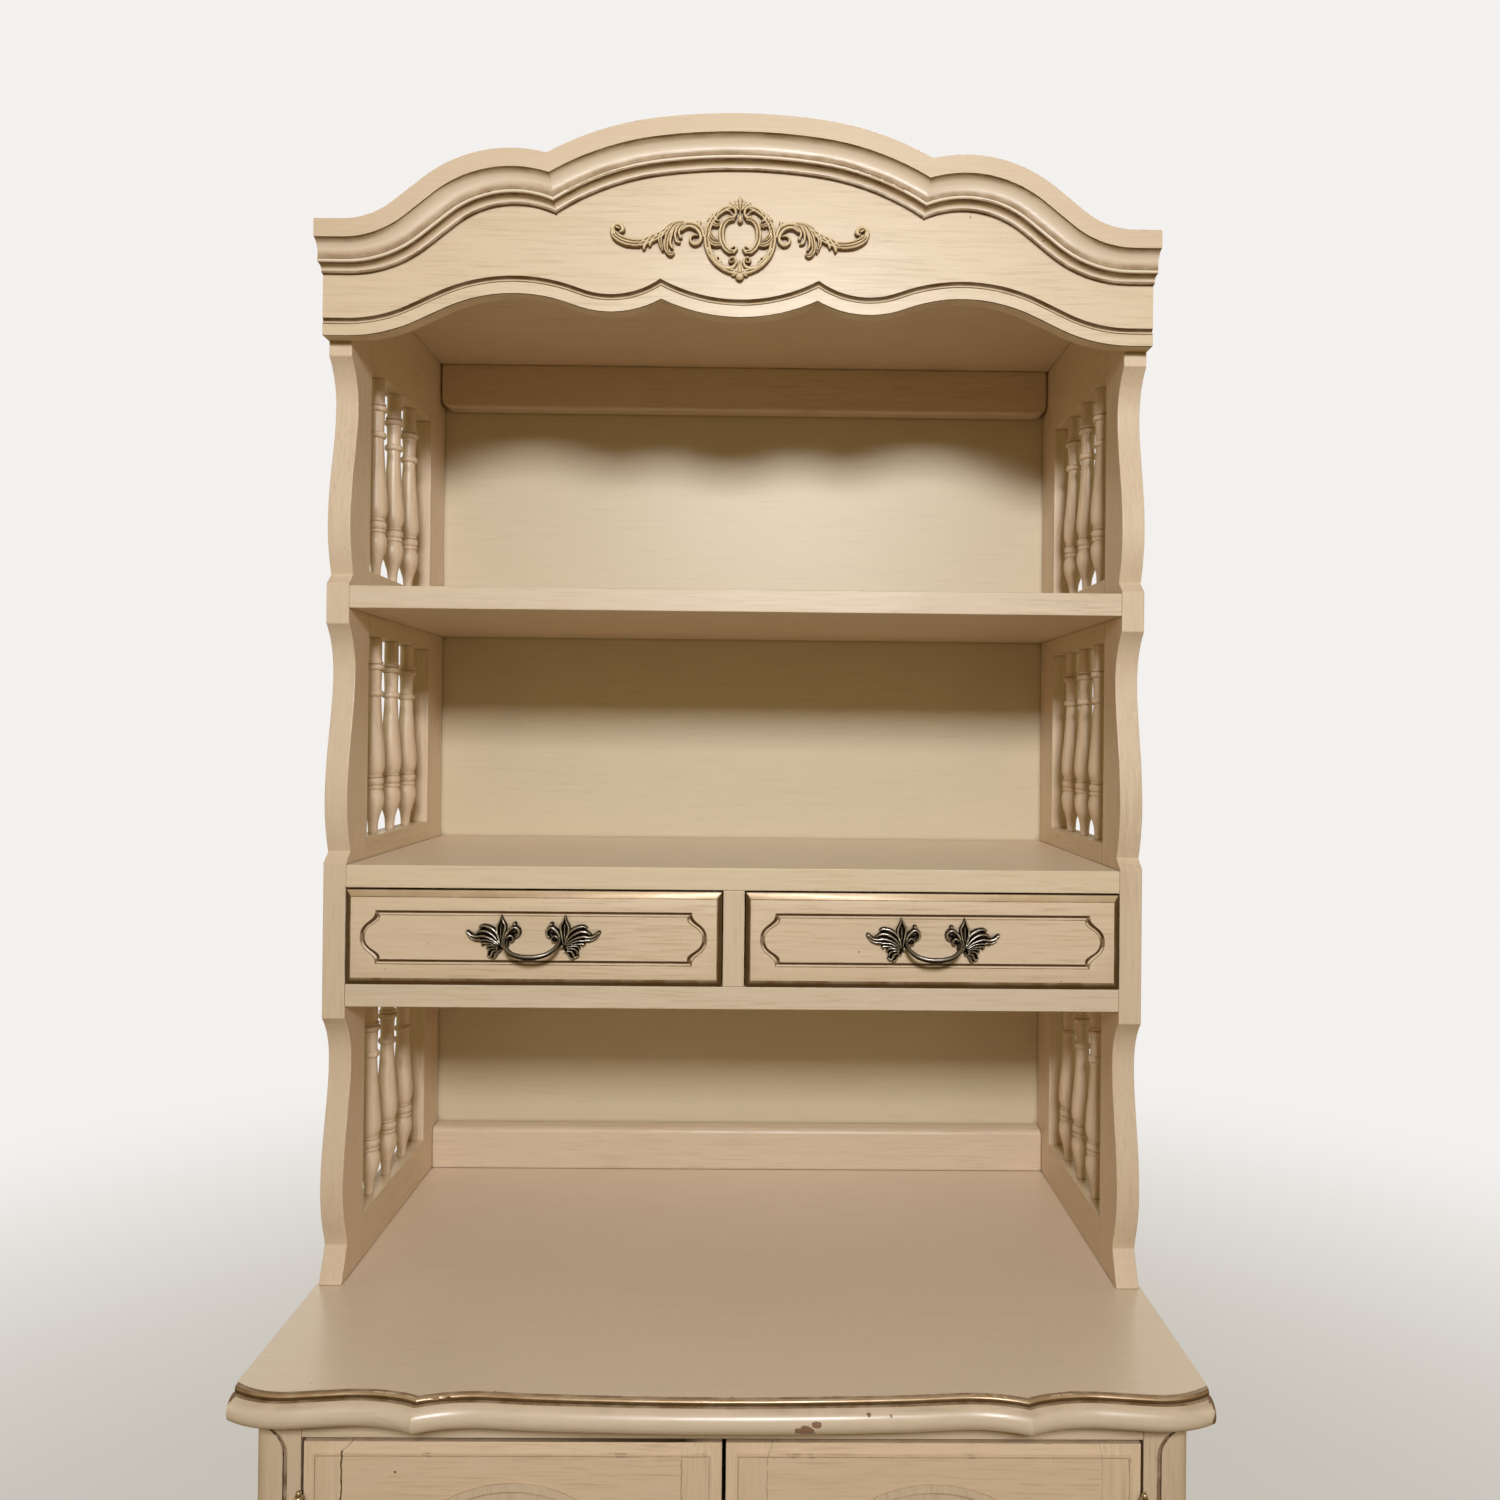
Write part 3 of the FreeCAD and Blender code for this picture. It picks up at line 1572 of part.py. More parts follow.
def hinge_halves(z_low):
    """The post half carries the outer knuckles, and the door half the middle one and the pin."""
    third = hinge_length / 3
    outer_spans = [
        (z_low, z_low + third - knuckle_gap / 2),
        (z_low + 2 * third + knuckle_gap / 2, z_low + hinge_length),
    ]
    middle_span = [(z_low + third + knuckle_gap / 2, z_low + 2 * third - knuckle_gap / 2)]
    axis_foot = V(hinge_x, hinge_y, z_low - 1)
    bore = Part.makeCylinder(hinge_pin_radius + hinge_fit, hinge_length + 2, axis_foot)
    fixed = hinge_leaf(-1, z_low, outer_spans).cut(bore)
    moving = hinge_leaf(1, z_low, middle_span)
    pin = Part.makeCylinder(
        hinge_pin_radius, hinge_length + 2 * knuckle_gap, V(hinge_x, hinge_y, z_low - knuckle_gap)
    )
    finial = turned(
        [(0, 0), (knuckle_radius, 0), ((3.2, 2.2), (1.6, 3.2)), ((2.4, 5.0), (0.6, 7.0)), (0, 7.0)],
        V(hinge_x, hinge_y, z_low + hinge_length + knuckle_gap),
    )
    low_finial = finial.mirror(V(0, 0, z_low + hinge_length / 2), UP)
    return fixed, fused([moving, pin, finial, low_finial])


fixed_leaves = []
moving_leaves = []
for level in hinge_levels:
    fixed_half, moving_half = hinge_halves(level)
    fixed_leaves.extend(pair(fixed_half))
    moving_leaves.append(moving_half)
parts["hinge_fixed_leaves"] = fixed_leaves


# ---------------------------------------------------------------- catches
strike_width = 30.0
strike_height = 12.0
catch_x1 = -door_inner - 6
catch_x0 = catch_x1 - catch_width
catch_z1 = case_ceiling_base - rail_height - 2
catch_y0 = door_back + strike_thick + catch_gap


def door_catches():
    """Magnetic catch bodies on a block that hangs from the top behind the rail."""
    block = box(catch_x0, catch_x1, catch_y0 + 6, catch_y0 + catch_depth + 6, catch_z1, case_ceiling_base)
    body = box(catch_x0, catch_x1, catch_y0, catch_y0 + catch_depth, catch_z1 - catch_height, catch_z1)
    return pair(block.fuse(body).removeSplitter())


def door_strike():
    middle = (catch_x0 + catch_x1) / 2
    z_middle = catch_z1 - catch_height / 2
    return box(
        middle - strike_width / 2,
        middle + strike_width / 2,
        door_back,
        door_back + strike_thick,
        z_middle - strike_height / 2,
        z_middle + strike_height / 2,
    )


parts["door_catches"] = door_catches()
door_pieces = {
    "frame": door_frame(),
    "panel": [door_panel()],
    "moulding": [door_moulding()],
    "knob": door_knob(),
    "hinge_leaves": moving_leaves,
    "strike": [door_strike()],
}
for piece_name, solids in door_pieces.items():
    parts["door_left_" + piece_name] = solids
    parts["door_right_" + piece_name] = [mirrored(solid) for solid in solids]


# ---------------------------------------------------------------- plates behind
plate_x = 300.0
plate_width = 20.0
plate_thick = 2.0
plate_reach = 22.0
plate = box(
    -plate_x - plate_width / 2,
    -plate_x + plate_width / 2,
    back_y,
    back_y + plate_thick,
    base_height - plate_reach,
    base_height + plate_reach,
)
for z in (base_height - plate_reach / 2, base_height + plate_reach / 2):
    plate = plate.fuse(Part.makeCylinder(4.0, 1.2, V(-plate_x, back_y + plate_thick, z), BACK))
parts["hutch_plates"] = pair(plate)


# ---------------------------------------------------------------- one file per piece
os.makedirs("parts", exist_ok=True)
for name, solids in parts.items():
    Part.makeCompound(solids).exportStep("parts/" + name + ".step")
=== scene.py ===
import json
import math

import bmesh
import bpy
import numpy as np
from mathutils import Matrix, Vector


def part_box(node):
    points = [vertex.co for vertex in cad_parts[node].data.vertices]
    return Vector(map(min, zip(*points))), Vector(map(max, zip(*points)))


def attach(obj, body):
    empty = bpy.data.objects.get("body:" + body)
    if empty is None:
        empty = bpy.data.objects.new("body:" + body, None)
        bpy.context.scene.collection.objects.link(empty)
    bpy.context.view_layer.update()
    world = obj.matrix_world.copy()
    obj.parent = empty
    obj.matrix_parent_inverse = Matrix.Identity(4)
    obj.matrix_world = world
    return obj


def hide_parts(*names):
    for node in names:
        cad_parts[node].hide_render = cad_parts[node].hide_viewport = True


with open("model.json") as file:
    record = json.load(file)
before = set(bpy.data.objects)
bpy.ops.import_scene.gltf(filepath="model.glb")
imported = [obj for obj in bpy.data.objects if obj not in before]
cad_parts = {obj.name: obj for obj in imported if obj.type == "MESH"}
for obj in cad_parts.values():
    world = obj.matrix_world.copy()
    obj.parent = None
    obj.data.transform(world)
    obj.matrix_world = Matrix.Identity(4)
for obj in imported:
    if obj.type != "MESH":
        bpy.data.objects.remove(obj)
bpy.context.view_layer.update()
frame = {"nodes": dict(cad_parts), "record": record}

NODES = frame["nodes"]
RECORD = frame["record"]
BODY_OF = {node: body for body, nodes in RECORD["behaviour"]["bodies"].items() for node in nodes}
MM = 0.001

# ------------ places on the object, metres
BASE_HEIGHT = 0.762
DRAWER_FACE = -0.060
HUTCH_FRONT = -0.057
FRIEZE_FACE = -0.073
POST_FACE = -0.202
DOOR_FACE = -0.205
DOOR_INNER = 0.0017
DOOR_OUTER = 0.3325
STILE = 0.0325
END_CUT = 0.3760
END_PLANE = 0.3835
END_FROM = 0.3000
CUSP_X = 0.2400
CUSP_REACH = 0.0900
CUSP_BACK = 0.0045
CUSP_FROM = -0.12
CUSP_FADE = 0.08
PULL_X = 0.185
PULL_Z = 1.0868
CARTOUCHE_Z = 1.7300

# ------------ sizes of details, millimetres
BEVEL_AT_SIDE = 4.6
BEVEL_BELOW = 6.2
BEVEL_ON_TOP = 6.6
TENON = 8.0
TENON_RADIUS = 4.45
SPINDLE_SIDES = 36
RING_POINTS = 7
TUBE_SIDES = 24
HOLLOW_REACH = 1.3
OUTSIDE = -9.0

# ------------ meshes, metres and degrees
WELD = 2e-6
SLIVER = 1e-7
FLAT_ANGLE = 0.4
SMOOTH_ANGLE = 28.0
SPINDLE_ANGLE = 38.0
CASTING_ANGLE = 50.0
CARVING_ANGLE = 60.0
EASE_ANGLE = 35.0
EASE_SEGMENTS = 3

# ------------ colours, linear
CREAM = (0.735, 0.575, 0.405)
# The two glaze browns below serve for real glaze and also as painted shade in corners, grooves and on faces
# turned away from the light.
GLAZE_AND_SHADE = (0.215, 0.124, 0.052)
DEEP_GLAZE_AND_SHADE = (0.082, 0.040, 0.010)
GOLD = (0.580, 0.400, 0.230)
BRONZE_GILT = (0.440, 0.280, 0.150)
# Pale cream mixed in as a painted highlight on mouldings and on faces that look up.
HIGHLIGHT_PAINT = (0.860, 0.720, 0.570)
BARE_WOOD = (0.560, 0.370, 0.200)
CHIP_BROWN = (0.210, 0.115, 0.068)
HARDBOARD = (0.200, 0.110, 0.055)
PRIMER = (0.290, 0.165, 0.105)


# ------------ shader helper
class NodeTree:
    """Short calls to build the nodes of a material or a world."""

    def __init__(self, tree):
        self.tree = tree

    def add(self, kind, sockets=None, **settings):
        """A node with its settings, and its sockets fed by their names or numbers."""
        node = self.tree.nodes.new(kind)
        for key, value in settings.items():
            setattr(node, key, value)
        for key, value in (sockets or {}).items():
            self.feed(node.inputs[key], value)
        return node

    def join(self, source, target):
        self.tree.links.new(source, target)

    def feed(self, socket, value):
        """Links a socket to an output, or sets it to a number or a colour."""
        if isinstance(value, bpy.types.NodeSocket):
            self.join(value, socket)
        elif isinstance(value, tuple) and len(value) == 3 and len(socket.default_value) == 4:
            socket.default_value = (*value, 1)
        else:
            socket.default_value = value

    def mix(self, share, a, b):
        """Colour a, or b where share is 1."""
        sockets = {"Factor": share, "A": a, "B": b}
        return self.add("ShaderNodeMix", sockets, data_type="RGBA").outputs["Result"]


class Shader(NodeTree):
    """A new material with one Principled shader."""

    def __init__(self, name):
        self.material = bpy.data.materials.new(name)
        self.material.use_nodes = True
        super().__init__(self.material.node_tree)
        self.tree.nodes.clear()
        self.out = self.add("ShaderNodeOutputMaterial")
        self.surface = self.add("ShaderNodeBsdfPrincipled")
        self.join(self.surface.outputs["BSDF"], self.out.inputs["Surface"])
        coordinates = self.add("ShaderNodeTexCoord").outputs
        self.place = coordinates["Object"]
        self.facing = coordinates["Normal"]

    def noise(self, scale, detail=3, stretch=(1, 1, 1), roughness=0.55, seed=0, distort=0):
        moved = {"Vector": self.place, "Scale": stretch, "Location": (seed, seed * 0.7, -seed)}
        spot = self.add("ShaderNodeMapping", moved).outputs["Vector"]
        shape = {"Scale": scale, "Detail": detail, "Roughness": roughness, "Distortion": distort}
        return self.add("ShaderNodeTexNoise", {"Vector": spot, **shape}).outputs["Fac"]

    def between(self, value, low, high, to_low=0, to_high=1):
        """value mapped from low..high to to_low..to_high, clamped, with soft ends."""
        sockets = {"Value": value, "From Min": low, "From Max": high, "To Min": to_low, "To Max": to_high}
        return self.add("ShaderNodeMapRange", sockets, interpolation_type="SMOOTHSTEP").outputs["Result"]

    def math(self, operation, a, b=0):
        return self.add("ShaderNodeMath", {0: a, 1: b}, operation=operation).outputs["Value"]

    def vector(self, operation, a, b=(0, 0, 0)):
        """A vector, or for a length or a product a number."""
        node = self.add("ShaderNodeVectorMath", {0: a, 1: b}, operation=operation)
        return node.outputs["Value" if operation in ("LENGTH", "DOT_PRODUCT") else "Vector"]

    def axes(self, vector):
        return self.add("ShaderNodeSeparateXYZ", {0: vector}).outputs[:]

    def times(self, first, *others):
        for other in others:
            first = self.math("MULTIPLY", first, other)
        return first

    def most(self, first, *others):
        for other in others:
            first = self.math("MAXIMUM", first, other)
        return first

    def least(self, a, b):
        return self.math("MINIMUM", a, b)

    def plus(self, a, b):
        return self.math("ADD", a, b)

    def less(self, a, b):
        return self.math("SUBTRACT", a, b)

    def size(self, a):
        return self.math("ABSOLUTE", a)

    def band(self, value, low, high, soft):
        """1 from low to high, 0 outside, with ends as wide as soft."""
        rise = self.between(value, low - soft, low)
        return self.times(rise, self.between(value, high, high + soft, 1, 0))

    def behind(self, face):
        """Millimetres behind an upright front face."""
        return self.times(self.less(self.axes(self.place)[1], face), 1 / MM)

    def attribute(self, name):
        return self.add("ShaderNodeAttribute", attribute_name=name).outputs["Fac"]

    def crevice(self, distance, dark=0.45, light=0.9):
        """1 deep in corners and grooves, 0 in the open."""
        node = self.add("ShaderNodeAmbientOcclusion", {"Distance": distance}, samples=8)
        return self.between(node.outputs["AO"], dark, light, 1, 0)

    def worn_edge(self, radius):
        """1 on sharp edges, 0 on flat ground."""
        soft = self.add("ShaderNodeBevel", {"Radius": radius}, samples=4)
        hard = self.add("ShaderNodeNewGeometry")
        turn = self.vector("DOT_PRODUCT", soft.outputs["Normal"], hard.outputs["Normal"])
        return self.between(turn, 0.999, 0.93)

    def bump(self, height, distance, strength):
        sockets = {"Strength": strength, "Distance": distance, "Height": height}
        return self.add("ShaderNodeBump", sockets).outputs["Normal"]

    def finish(self, colour, roughness, normal=None, metallic=0):
        inputs = self.surface.inputs
        self.feed(inputs["Base Color"], colour)
        self.feed(inputs["Roughness"], roughness)
        self.feed(inputs["Metallic"], metallic)
        if normal is not None:
            self.join(normal, inputs["Normal"])
        return self.material


GRAIN = {"x": (3, 60, 60), "y": (60, 3, 60), "z": (60, 60, 3)}
COAT_ROUGHNESS = 0.25
GILT_METALLIC = 0.35
WORN_RADIUS = 0.0012


def toned(colour, *shares):
    """A colour scaled by one share, or by one for each channel."""
    return tuple(c * share for c, share in zip(colour, shares * (3 // len(shares))))


def chip(s, spot, size, squeeze, seed):
    """1 where paint is knocked off round a spot, with a ragged edge."""
    far = s.vector("LENGTH", s.vector("MULTIPLY", s.vector("SUBTRACT", s.place, spot), squeeze))
    ragged = s.plus(far, s.times(s.noise(260, 2, seed=seed), size * 1.5))
    return s.between(ragged, size * 1.7, size * 1.78, 1, 0)


def crack(s, points, width, seed):
    """1 on a wavering line down a front face, through (x, z) points in metres."""
    x, _, z = s.axes(s.place)
    x = s.plus(x, s.times(s.less(s.noise(120, seed=seed), 0.5), 0.0035))
    found = 0
    for (x0, z0), (x1, z1) in zip(points, points[1:]):
        lean = (x1 - x0) / (z1 - z0)
        across = s.less(s.less(x, x0), s.times(s.less(z, z0), lean))
        near = s.between(s.size(across), width * 0.4, width, 1, 0)
        found = s.most(s.times(near, s.band(z, z1, z0, 0.0004)), found)
    return found


def paint(name, grain, tone=(1, 1, 1), streak=0.5, seed=0, lines=None, chips=(), cracks=(),
          carved=False, gloss=0, reach=0.005):
    """Antique cream paint: brushed glaze along the grain, glaze and painted shade in corners, worn edges.

    lines(s) gives what is on the mouldings: the shares of thin glaze, of deep glaze and of gilding, the
    gilding's colour and the share of painted highlight; the glaze shares carry painted shade as well as
    glaze. chips are (place, size, squeeze, colour), cracks are (points, width, darkness), and reach is
    how far the darkening of glaze and painted shade spreads out of a corner, in metres.
    """
    s = Shader(name)
    base = toned(CREAM, *tone)
    cloud = s.between(s.noise(4, 3, seed=seed), 0.35, 0.75)
    colour = s.mix(s.times(cloud, 0.3), base, toned(base, 0.91, 0.89, 0.84))
    stretch = GRAIN[grain]
    fine = s.noise(7, 4, stretch, 0.62, seed + 3.1, 0.25)
    broad = s.noise(1.6, 3, stretch, 0.55, seed + 8.3, 0.35)
    patches = s.between(s.noise(5, 2, seed=seed + 5), 0.3, 0.7, 0.3, 1)
    brushed = s.times(s.between(fine, 0.48, 0.7), patches, streak)
    colour = s.mix(brushed, colour, toned(base, 0.66, 0.59, 0.47))
    pale = s.between(fine, 0.44, 0.3)
    colour = s.mix(s.times(pale, 0.34), colour, toned(base, 1.12, 1.14, 1.18))
    bands = s.times(s.between(broad, 0.48, 0.72), patches, 0.3)
    colour = s.mix(bands, colour, toned(base, 0.82, 0.77, 0.68))
    smudge = s.between(s.noise(60, 3, seed=seed + 2), 0.3, 0.7, 0.6, 1)
    # Corners and grooves found by occlusion darken with glaze and painted shade.
    thin = s.times(s.crevice(reach, 0.35, 0.8), smudge, 0.62)
    deep = s.times(s.attribute("glaze"), smudge)
    thin = s.most(thin, s.between(deep, 0, 0.6))
    gilt = 0
    if lines:
        # A moulding's lines bring glaze shares that also hold painted shade, and a share of painted
        # highlight.
        line_thin, line_deep, gilt, gilt_colour, painted_highlight = lines(s)
        colour = s.mix(painted_highlight, colour, HIGHLIGHT_PAINT)
        thin = s.most(thin, s.times(line_thin, smudge))
        deep = s.most(deep, line_deep)
        worn = s.between(s.noise(45, 3, seed=seed + 1), 0.35, 0.65, 0.72, 1)
        gilt = s.times(gilt, worn)
        colour = s.mix(gilt, colour, gilt_colour)
    if carved:
        # On carving, hollows darken with glaze and painted shade, and raised parts are lightened as a
        # painted highlight.
        sunk = s.attribute("hollow")
        thin = s.most(thin, s.between(sunk, 0.5, 0.8, 0, 0.92))
        deep = s.most(deep, s.times(s.between(sunk, 0.7, 1), 0.66))
        raised = s.between(sunk, 0.42, 0.3)
        colour = s.mix(s.times(raised, 0.55), colour, toned(base, 1.22, 1.24, 1.22))
    colour = s.mix(thin, colour, GLAZE_AND_SHADE)
    colour = s.mix(s.between(deep, 0.4, 0.95), colour, DEEP_GLAZE_AND_SHADE)
    rub = s.between(s.noise(38, 4, seed=seed + 6, roughness=0.65), 0.6, 0.68)
    edge = s.times(s.worn_edge(WORN_RADIUS), rub, 0.7)
    colour = s.mix(edge, colour, CHIP_BROWN)
    speck = s.between(s.noise(210, 1, seed=seed + 9), 0.8, 0.83)
    colour = s.mix(s.times(speck, 0.7), colour, GLAZE_AND_SHADE)
    depth = fine
    for number, (spot, size, squeeze, brown) in enumerate(chips):
        gone = chip(s, spot, size, squeeze, seed + 1.7 * number)
        colour = s.mix(gone, colour, brown)
        depth = s.less(depth, s.times(gone, 3))
    for number, (points, width, dark) in enumerate(cracks):
        split = crack(s, points, width, seed + 2.3 * number)
        colour = s.mix(s.times(split, dark), colour, DEEP_GLAZE_AND_SHADE)
        depth = s.less(depth, s.times(split, 4 * dark))
    sheen = s.noise(9, 3, stretch, seed=seed + 4)
    roughness = s.between(sheen, 0.3, 0.7, 0.36 - 0.5 * gloss, 0.47 - 0.5 * gloss)
    dull = s.between(thin, 0.1, 0.9, 1, 0.25)
    s.feed(s.surface.inputs["Specular IOR Level"], s.times(dull, 0.5))
    s.feed(s.surface.inputs["Coat Weight"], s.times(dull, 0.12 + gloss))
    s.feed(s.surface.inputs["Coat Roughness"], COAT_ROUGHNESS)
    return s.finish(colour, roughness, s.bump(depth, 0.00013, 0.6), s.times(gilt, GILT_METALLIC))


def drawer_lines(s):
    """A drawer front's bevel, gilded on top and brown on its other sides: real gilding and glaze, with the
    lit top and the shaded sides and foot partly painted light and shade. Its routed groove: painted shade on
    the walls that face down, light on those that face up, with a fine line at its rim. The front's edge
    above the top bevel is painted dark, a painted shadow in the gap over the drawer."""
    down = s.behind(DRAWER_FACE)
    _, y, z = s.axes(s.facing)
    at_x, _, at_z = s.axes(s.place)
    (left, _, low), (right, _, high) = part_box("drawer_right_front")
    wide = s.size(at_x)
    from_side = s.times(s.least(s.less(wide, left), s.less(right, wide)), 1 / MM / BEVEL_AT_SIDE)
    from_low = s.times(s.less(at_z, low), 1 / MM / BEVEL_BELOW)
    from_top = s.times(s.less(high, at_z), 1 / MM / BEVEL_ON_TOP)
    others = s.least(from_side, from_low)
    nearest = s.least(others, from_top)
    in_frame = s.between(nearest, 1.03, 0.97)
    frame_rim = s.band(nearest, 0.93, 1.03, 0.05)
    on_top = s.times(in_frame, s.math("LESS_THAN", from_top, others))
    on_rest = s.less(in_frame, on_top)
    on_wall = s.times(s.band(down, 0.03, 1.46, 0.02), s.between(y, -0.9, -0.88))
    on_floor = s.times(s.band(down, 1.46, 1.54, 0.02), s.between(y, -0.97, -0.98))
    # Groove walls that face down darken as painted shade.
    under = s.between(z, 0.12, -0.18)
    level = s.between(s.size(z), 0.25, 0.12)
    inside = s.less(1, in_frame)
    rim = s.band(down, 0.03, 0.5, 0.12)
    thin = s.most(
        s.times(on_wall, inside, s.most(under, s.times(rim, 0.95), s.times(level, 0.95))),
        s.times(on_rest, 0.95),
        s.times(on_top, 0.3),
        s.times(frame_rim, 0.9),
        on_floor,
    )
    # The deep share also holds the painted shadow on the front's top edge behind the top bevel.
    deep = s.most(
        s.times(on_wall, inside, s.most(s.times(under, 0.85), s.times(rim, 0.52), s.times(level, 0.6))),
        s.times(on_floor, 0.8),
        s.times(on_rest, s.between(down, 0.4, 2, 0.62, 0.9)),
        s.times(on_top, s.between(down, 2.5, 2.9), 0.95),
    )
    return thin, deep, s.times(on_top, 0.7), GOLD, 0


def frieze_lines(s):
    """The frieze's long groove: its upper wall, which faces down, darkened as painted shade, and its lower
    wall light between two fine dark lines, the lower one at the groove's bottom also painted shade.
    """
    down = s.behind(FRIEZE_FACE)
    y = s.axes(s.facing)[1]
    in_groove = s.times(s.band(down, 0.04, 2.1, 0.02), s.between(y, -0.99, -0.97))
    upper = s.times(in_groove, s.between(y, -0.9, -0.8))
    lower = s.times(in_groove, s.between(y, -0.9, -0.93))
    fine = s.times(lower, s.between(down, 1.2, 0.95))
    low_end = s.times(lower, s.between(down, 1.35, 1.65))
    found = s.most(upper, fine, low_end)
    return found, s.times(found, 0.74), 0, GOLD, 0


def crown_lines(s):
    """Painted light and shade on the crown: painted shade on the top of its cove, which faces down, at the
    cove's foot and on the small cove; glaze and painted shade in the quirks at the ledge and the fillet;
    and painted highlights on the cove's middle, on the bead and at the small cove's foot.
    """
    out = s.times(s.behind(FRIEZE_FACE), -1)
    _, y, z = s.axes(s.facing)
    front = s.times(y, -1)
    cove = s.band(out, 12.62, 19.9, 0.05)
    cove_top = s.times(cove, s.between(z, -0.6, -0.9))
    cove_end = s.band(out, 12.1, 12.8, 0.05)
    cove_foot = s.times(cove_end, s.between(front, 0.9, 0.95), s.between(z, -0.32, 0.12))
    bead = s.times(s.band(out, 12.95, 13.3, 0.05), s.between(z, -0.34, -0.2))
    # The cove's middle takes a painted highlight.
    painted_highlight = s.times(cove, s.band(z, -0.62, -0.38, 0.2))
    ledge = s.times(s.between(front, 0.35, 0.15), s.between(z, 0.1, -0.1))
    small_cove = s.band(out, 3.7, 8.9, 0.05)
    small_foot = s.times(s.band(out, 3.68, 4.4, 0.05), s.between(front, 0.8, 0.9))
    fillet = s.times(s.band(out, 3.5, 3.66, 0.03), s.between(front, 0.9, 0.98))
    thin = s.most(
        s.times(cove_top, 0.68), s.times(cove_foot, 0.75), ledge,
        s.times(small_cove, s.between(front, 0.8, 0.4), 0.3), fillet,
    )
    deep = s.most(s.times(ledge, s.between(out, 12.2, 11.8), 0.62), s.times(fillet, 0.45))
    pale = s.most(s.times(painted_highlight, 0.6), s.times(small_foot, 0.6), bead)
    return thin, deep, 0, GOLD, pale


def level_lines(s):
    """A surface that things stand on: painted paler where it faces up, a painted highlight for light from
    above.
    """
    return 0, 0, 0, GOLD, s.between(s.axes(s.facing)[2], 0.9, 0.97, 0, 0.6)


def top_lines(s):
    """On the base top: a dark line under its edge, a bronzed bead shaded below, a soiled ovolo between
    a quirk and a glazed foot, painted shade on the ovolo's edge at the bead's foot and on the bead towards
    its cut ends, and the level face and the ovolo's middle painted pale as a painted highlight."""
    under = s.times(s.less(BASE_HEIGHT, s.axes(s.place)[2]), 1 / MM)
    x, y, z = s.axes(s.facing)
    front = s.between(s.size(x), 0.99, 0.96)
    ledge = s.times(s.band(under, 0.92, 1.08, 0.03), s.between(z, 0.9, 0.96))
    lip = s.times(s.band(under, 0.4, 1.05, 0.2), s.between(z, 0.5, 0.3))
    line = s.times(s.most(ledge, lip), front)
    # The bead darkens towards its cut ends: painted shade.
    ends = s.between(s.size(s.axes(s.place)[0]), 0.352, 0.374)
    bead_top = s.times(s.band(under, 1.08, 4.15, 0.04), s.between(z, 0.975, 0.93))
    bead_foot = s.times(s.band(under, 4.15, 5.18, 0.04), s.between(z, 0.6, 0.5))
    bead = s.times(s.most(bead_top, bead_foot), front)
    shade = s.times(bead, s.between(z, 0.45, 0.25))
    # A dark strip on the ovolo's flat top at the bead's foot: painted shade.
    brink = s.times(s.band(under, 4.3, 4.62, 0.08), s.between(z, 0.9, 0.95), front)
    quirk = s.times(s.band(under, 5.1, 5.3, 0.03), s.between(z, 0.97, 0.99))
    ovolo = s.times(s.band(under, 4.35, 24, 0.05), s.between(y, -0.02, -0.1), front)
    long_cloud = (0.35, 1, 1)
    upper_cloud = s.between(s.noise(26, 4, long_cloud, seed=71), 0.42, 0.66)
    soil = s.times(ovolo, s.between(under, 9.5, 5.5), upper_cloud)
    lower_cloud = s.between(s.noise(20, 4, long_cloud, seed=73), 0.4, 0.62)
    foot = s.times(ovolo, s.between(under, 18, 22), lower_cloud)
    thin = s.most(
        s.times(line, 0.85), shade, quirk, brink, s.times(bead, ends, 0.9), s.times(soil, 0.36),
        s.times(foot, 0.45), s.times(ovolo, 0.09),
    )
    deep = s.most(
        s.times(line, 0.5), s.times(shade, 0.68), s.times(quirk, 0.8), s.times(brink, 0.42),
        s.times(bead, ends, 0.6),
    )
    # The level face and the ovolo's middle are painted pale: a painted highlight.
    level = s.times(s.between(under, 0.3, 0.1), s.between(z, 0.9, 0.97))
    pale = s.most(s.times(level, 0.55), s.times(ovolo, s.band(under, 9, 17, 3), 0.12))
    return thin, deep, bead, BRONZE_GILT, pale


def raw_wood(name, grain, seed=0):
    """Plain secondary wood with fine grain and pores, and painted shade darkening its corners."""
    s = Shader(name)
    stretch = GRAIN[grain]
    ring = s.between(s.noise(1.6, 4, stretch, 0.6, seed, 1.2), 0.35, 0.65)
    pore = s.between(s.noise(9, 3, stretch, 0.6, seed + 2), 0.55, 0.75)
    tint = s.mix(s.times(ring, 0.6), BARE_WOOD, toned(BARE_WOOD, 0.72, 0.66, 0.6))
    tint = s.mix(s.times(pore, 0.5), tint, toned(BARE_WOOD, 0.45))
    # Corners darken towards black: painted shade.
    tint = s.mix(s.times(s.crevice(0.006), 0.6), tint, (0.08, 0.045, 0.02))
    return s.finish(tint, 0.62, s.bump(pore, 0.0001, 0.6))


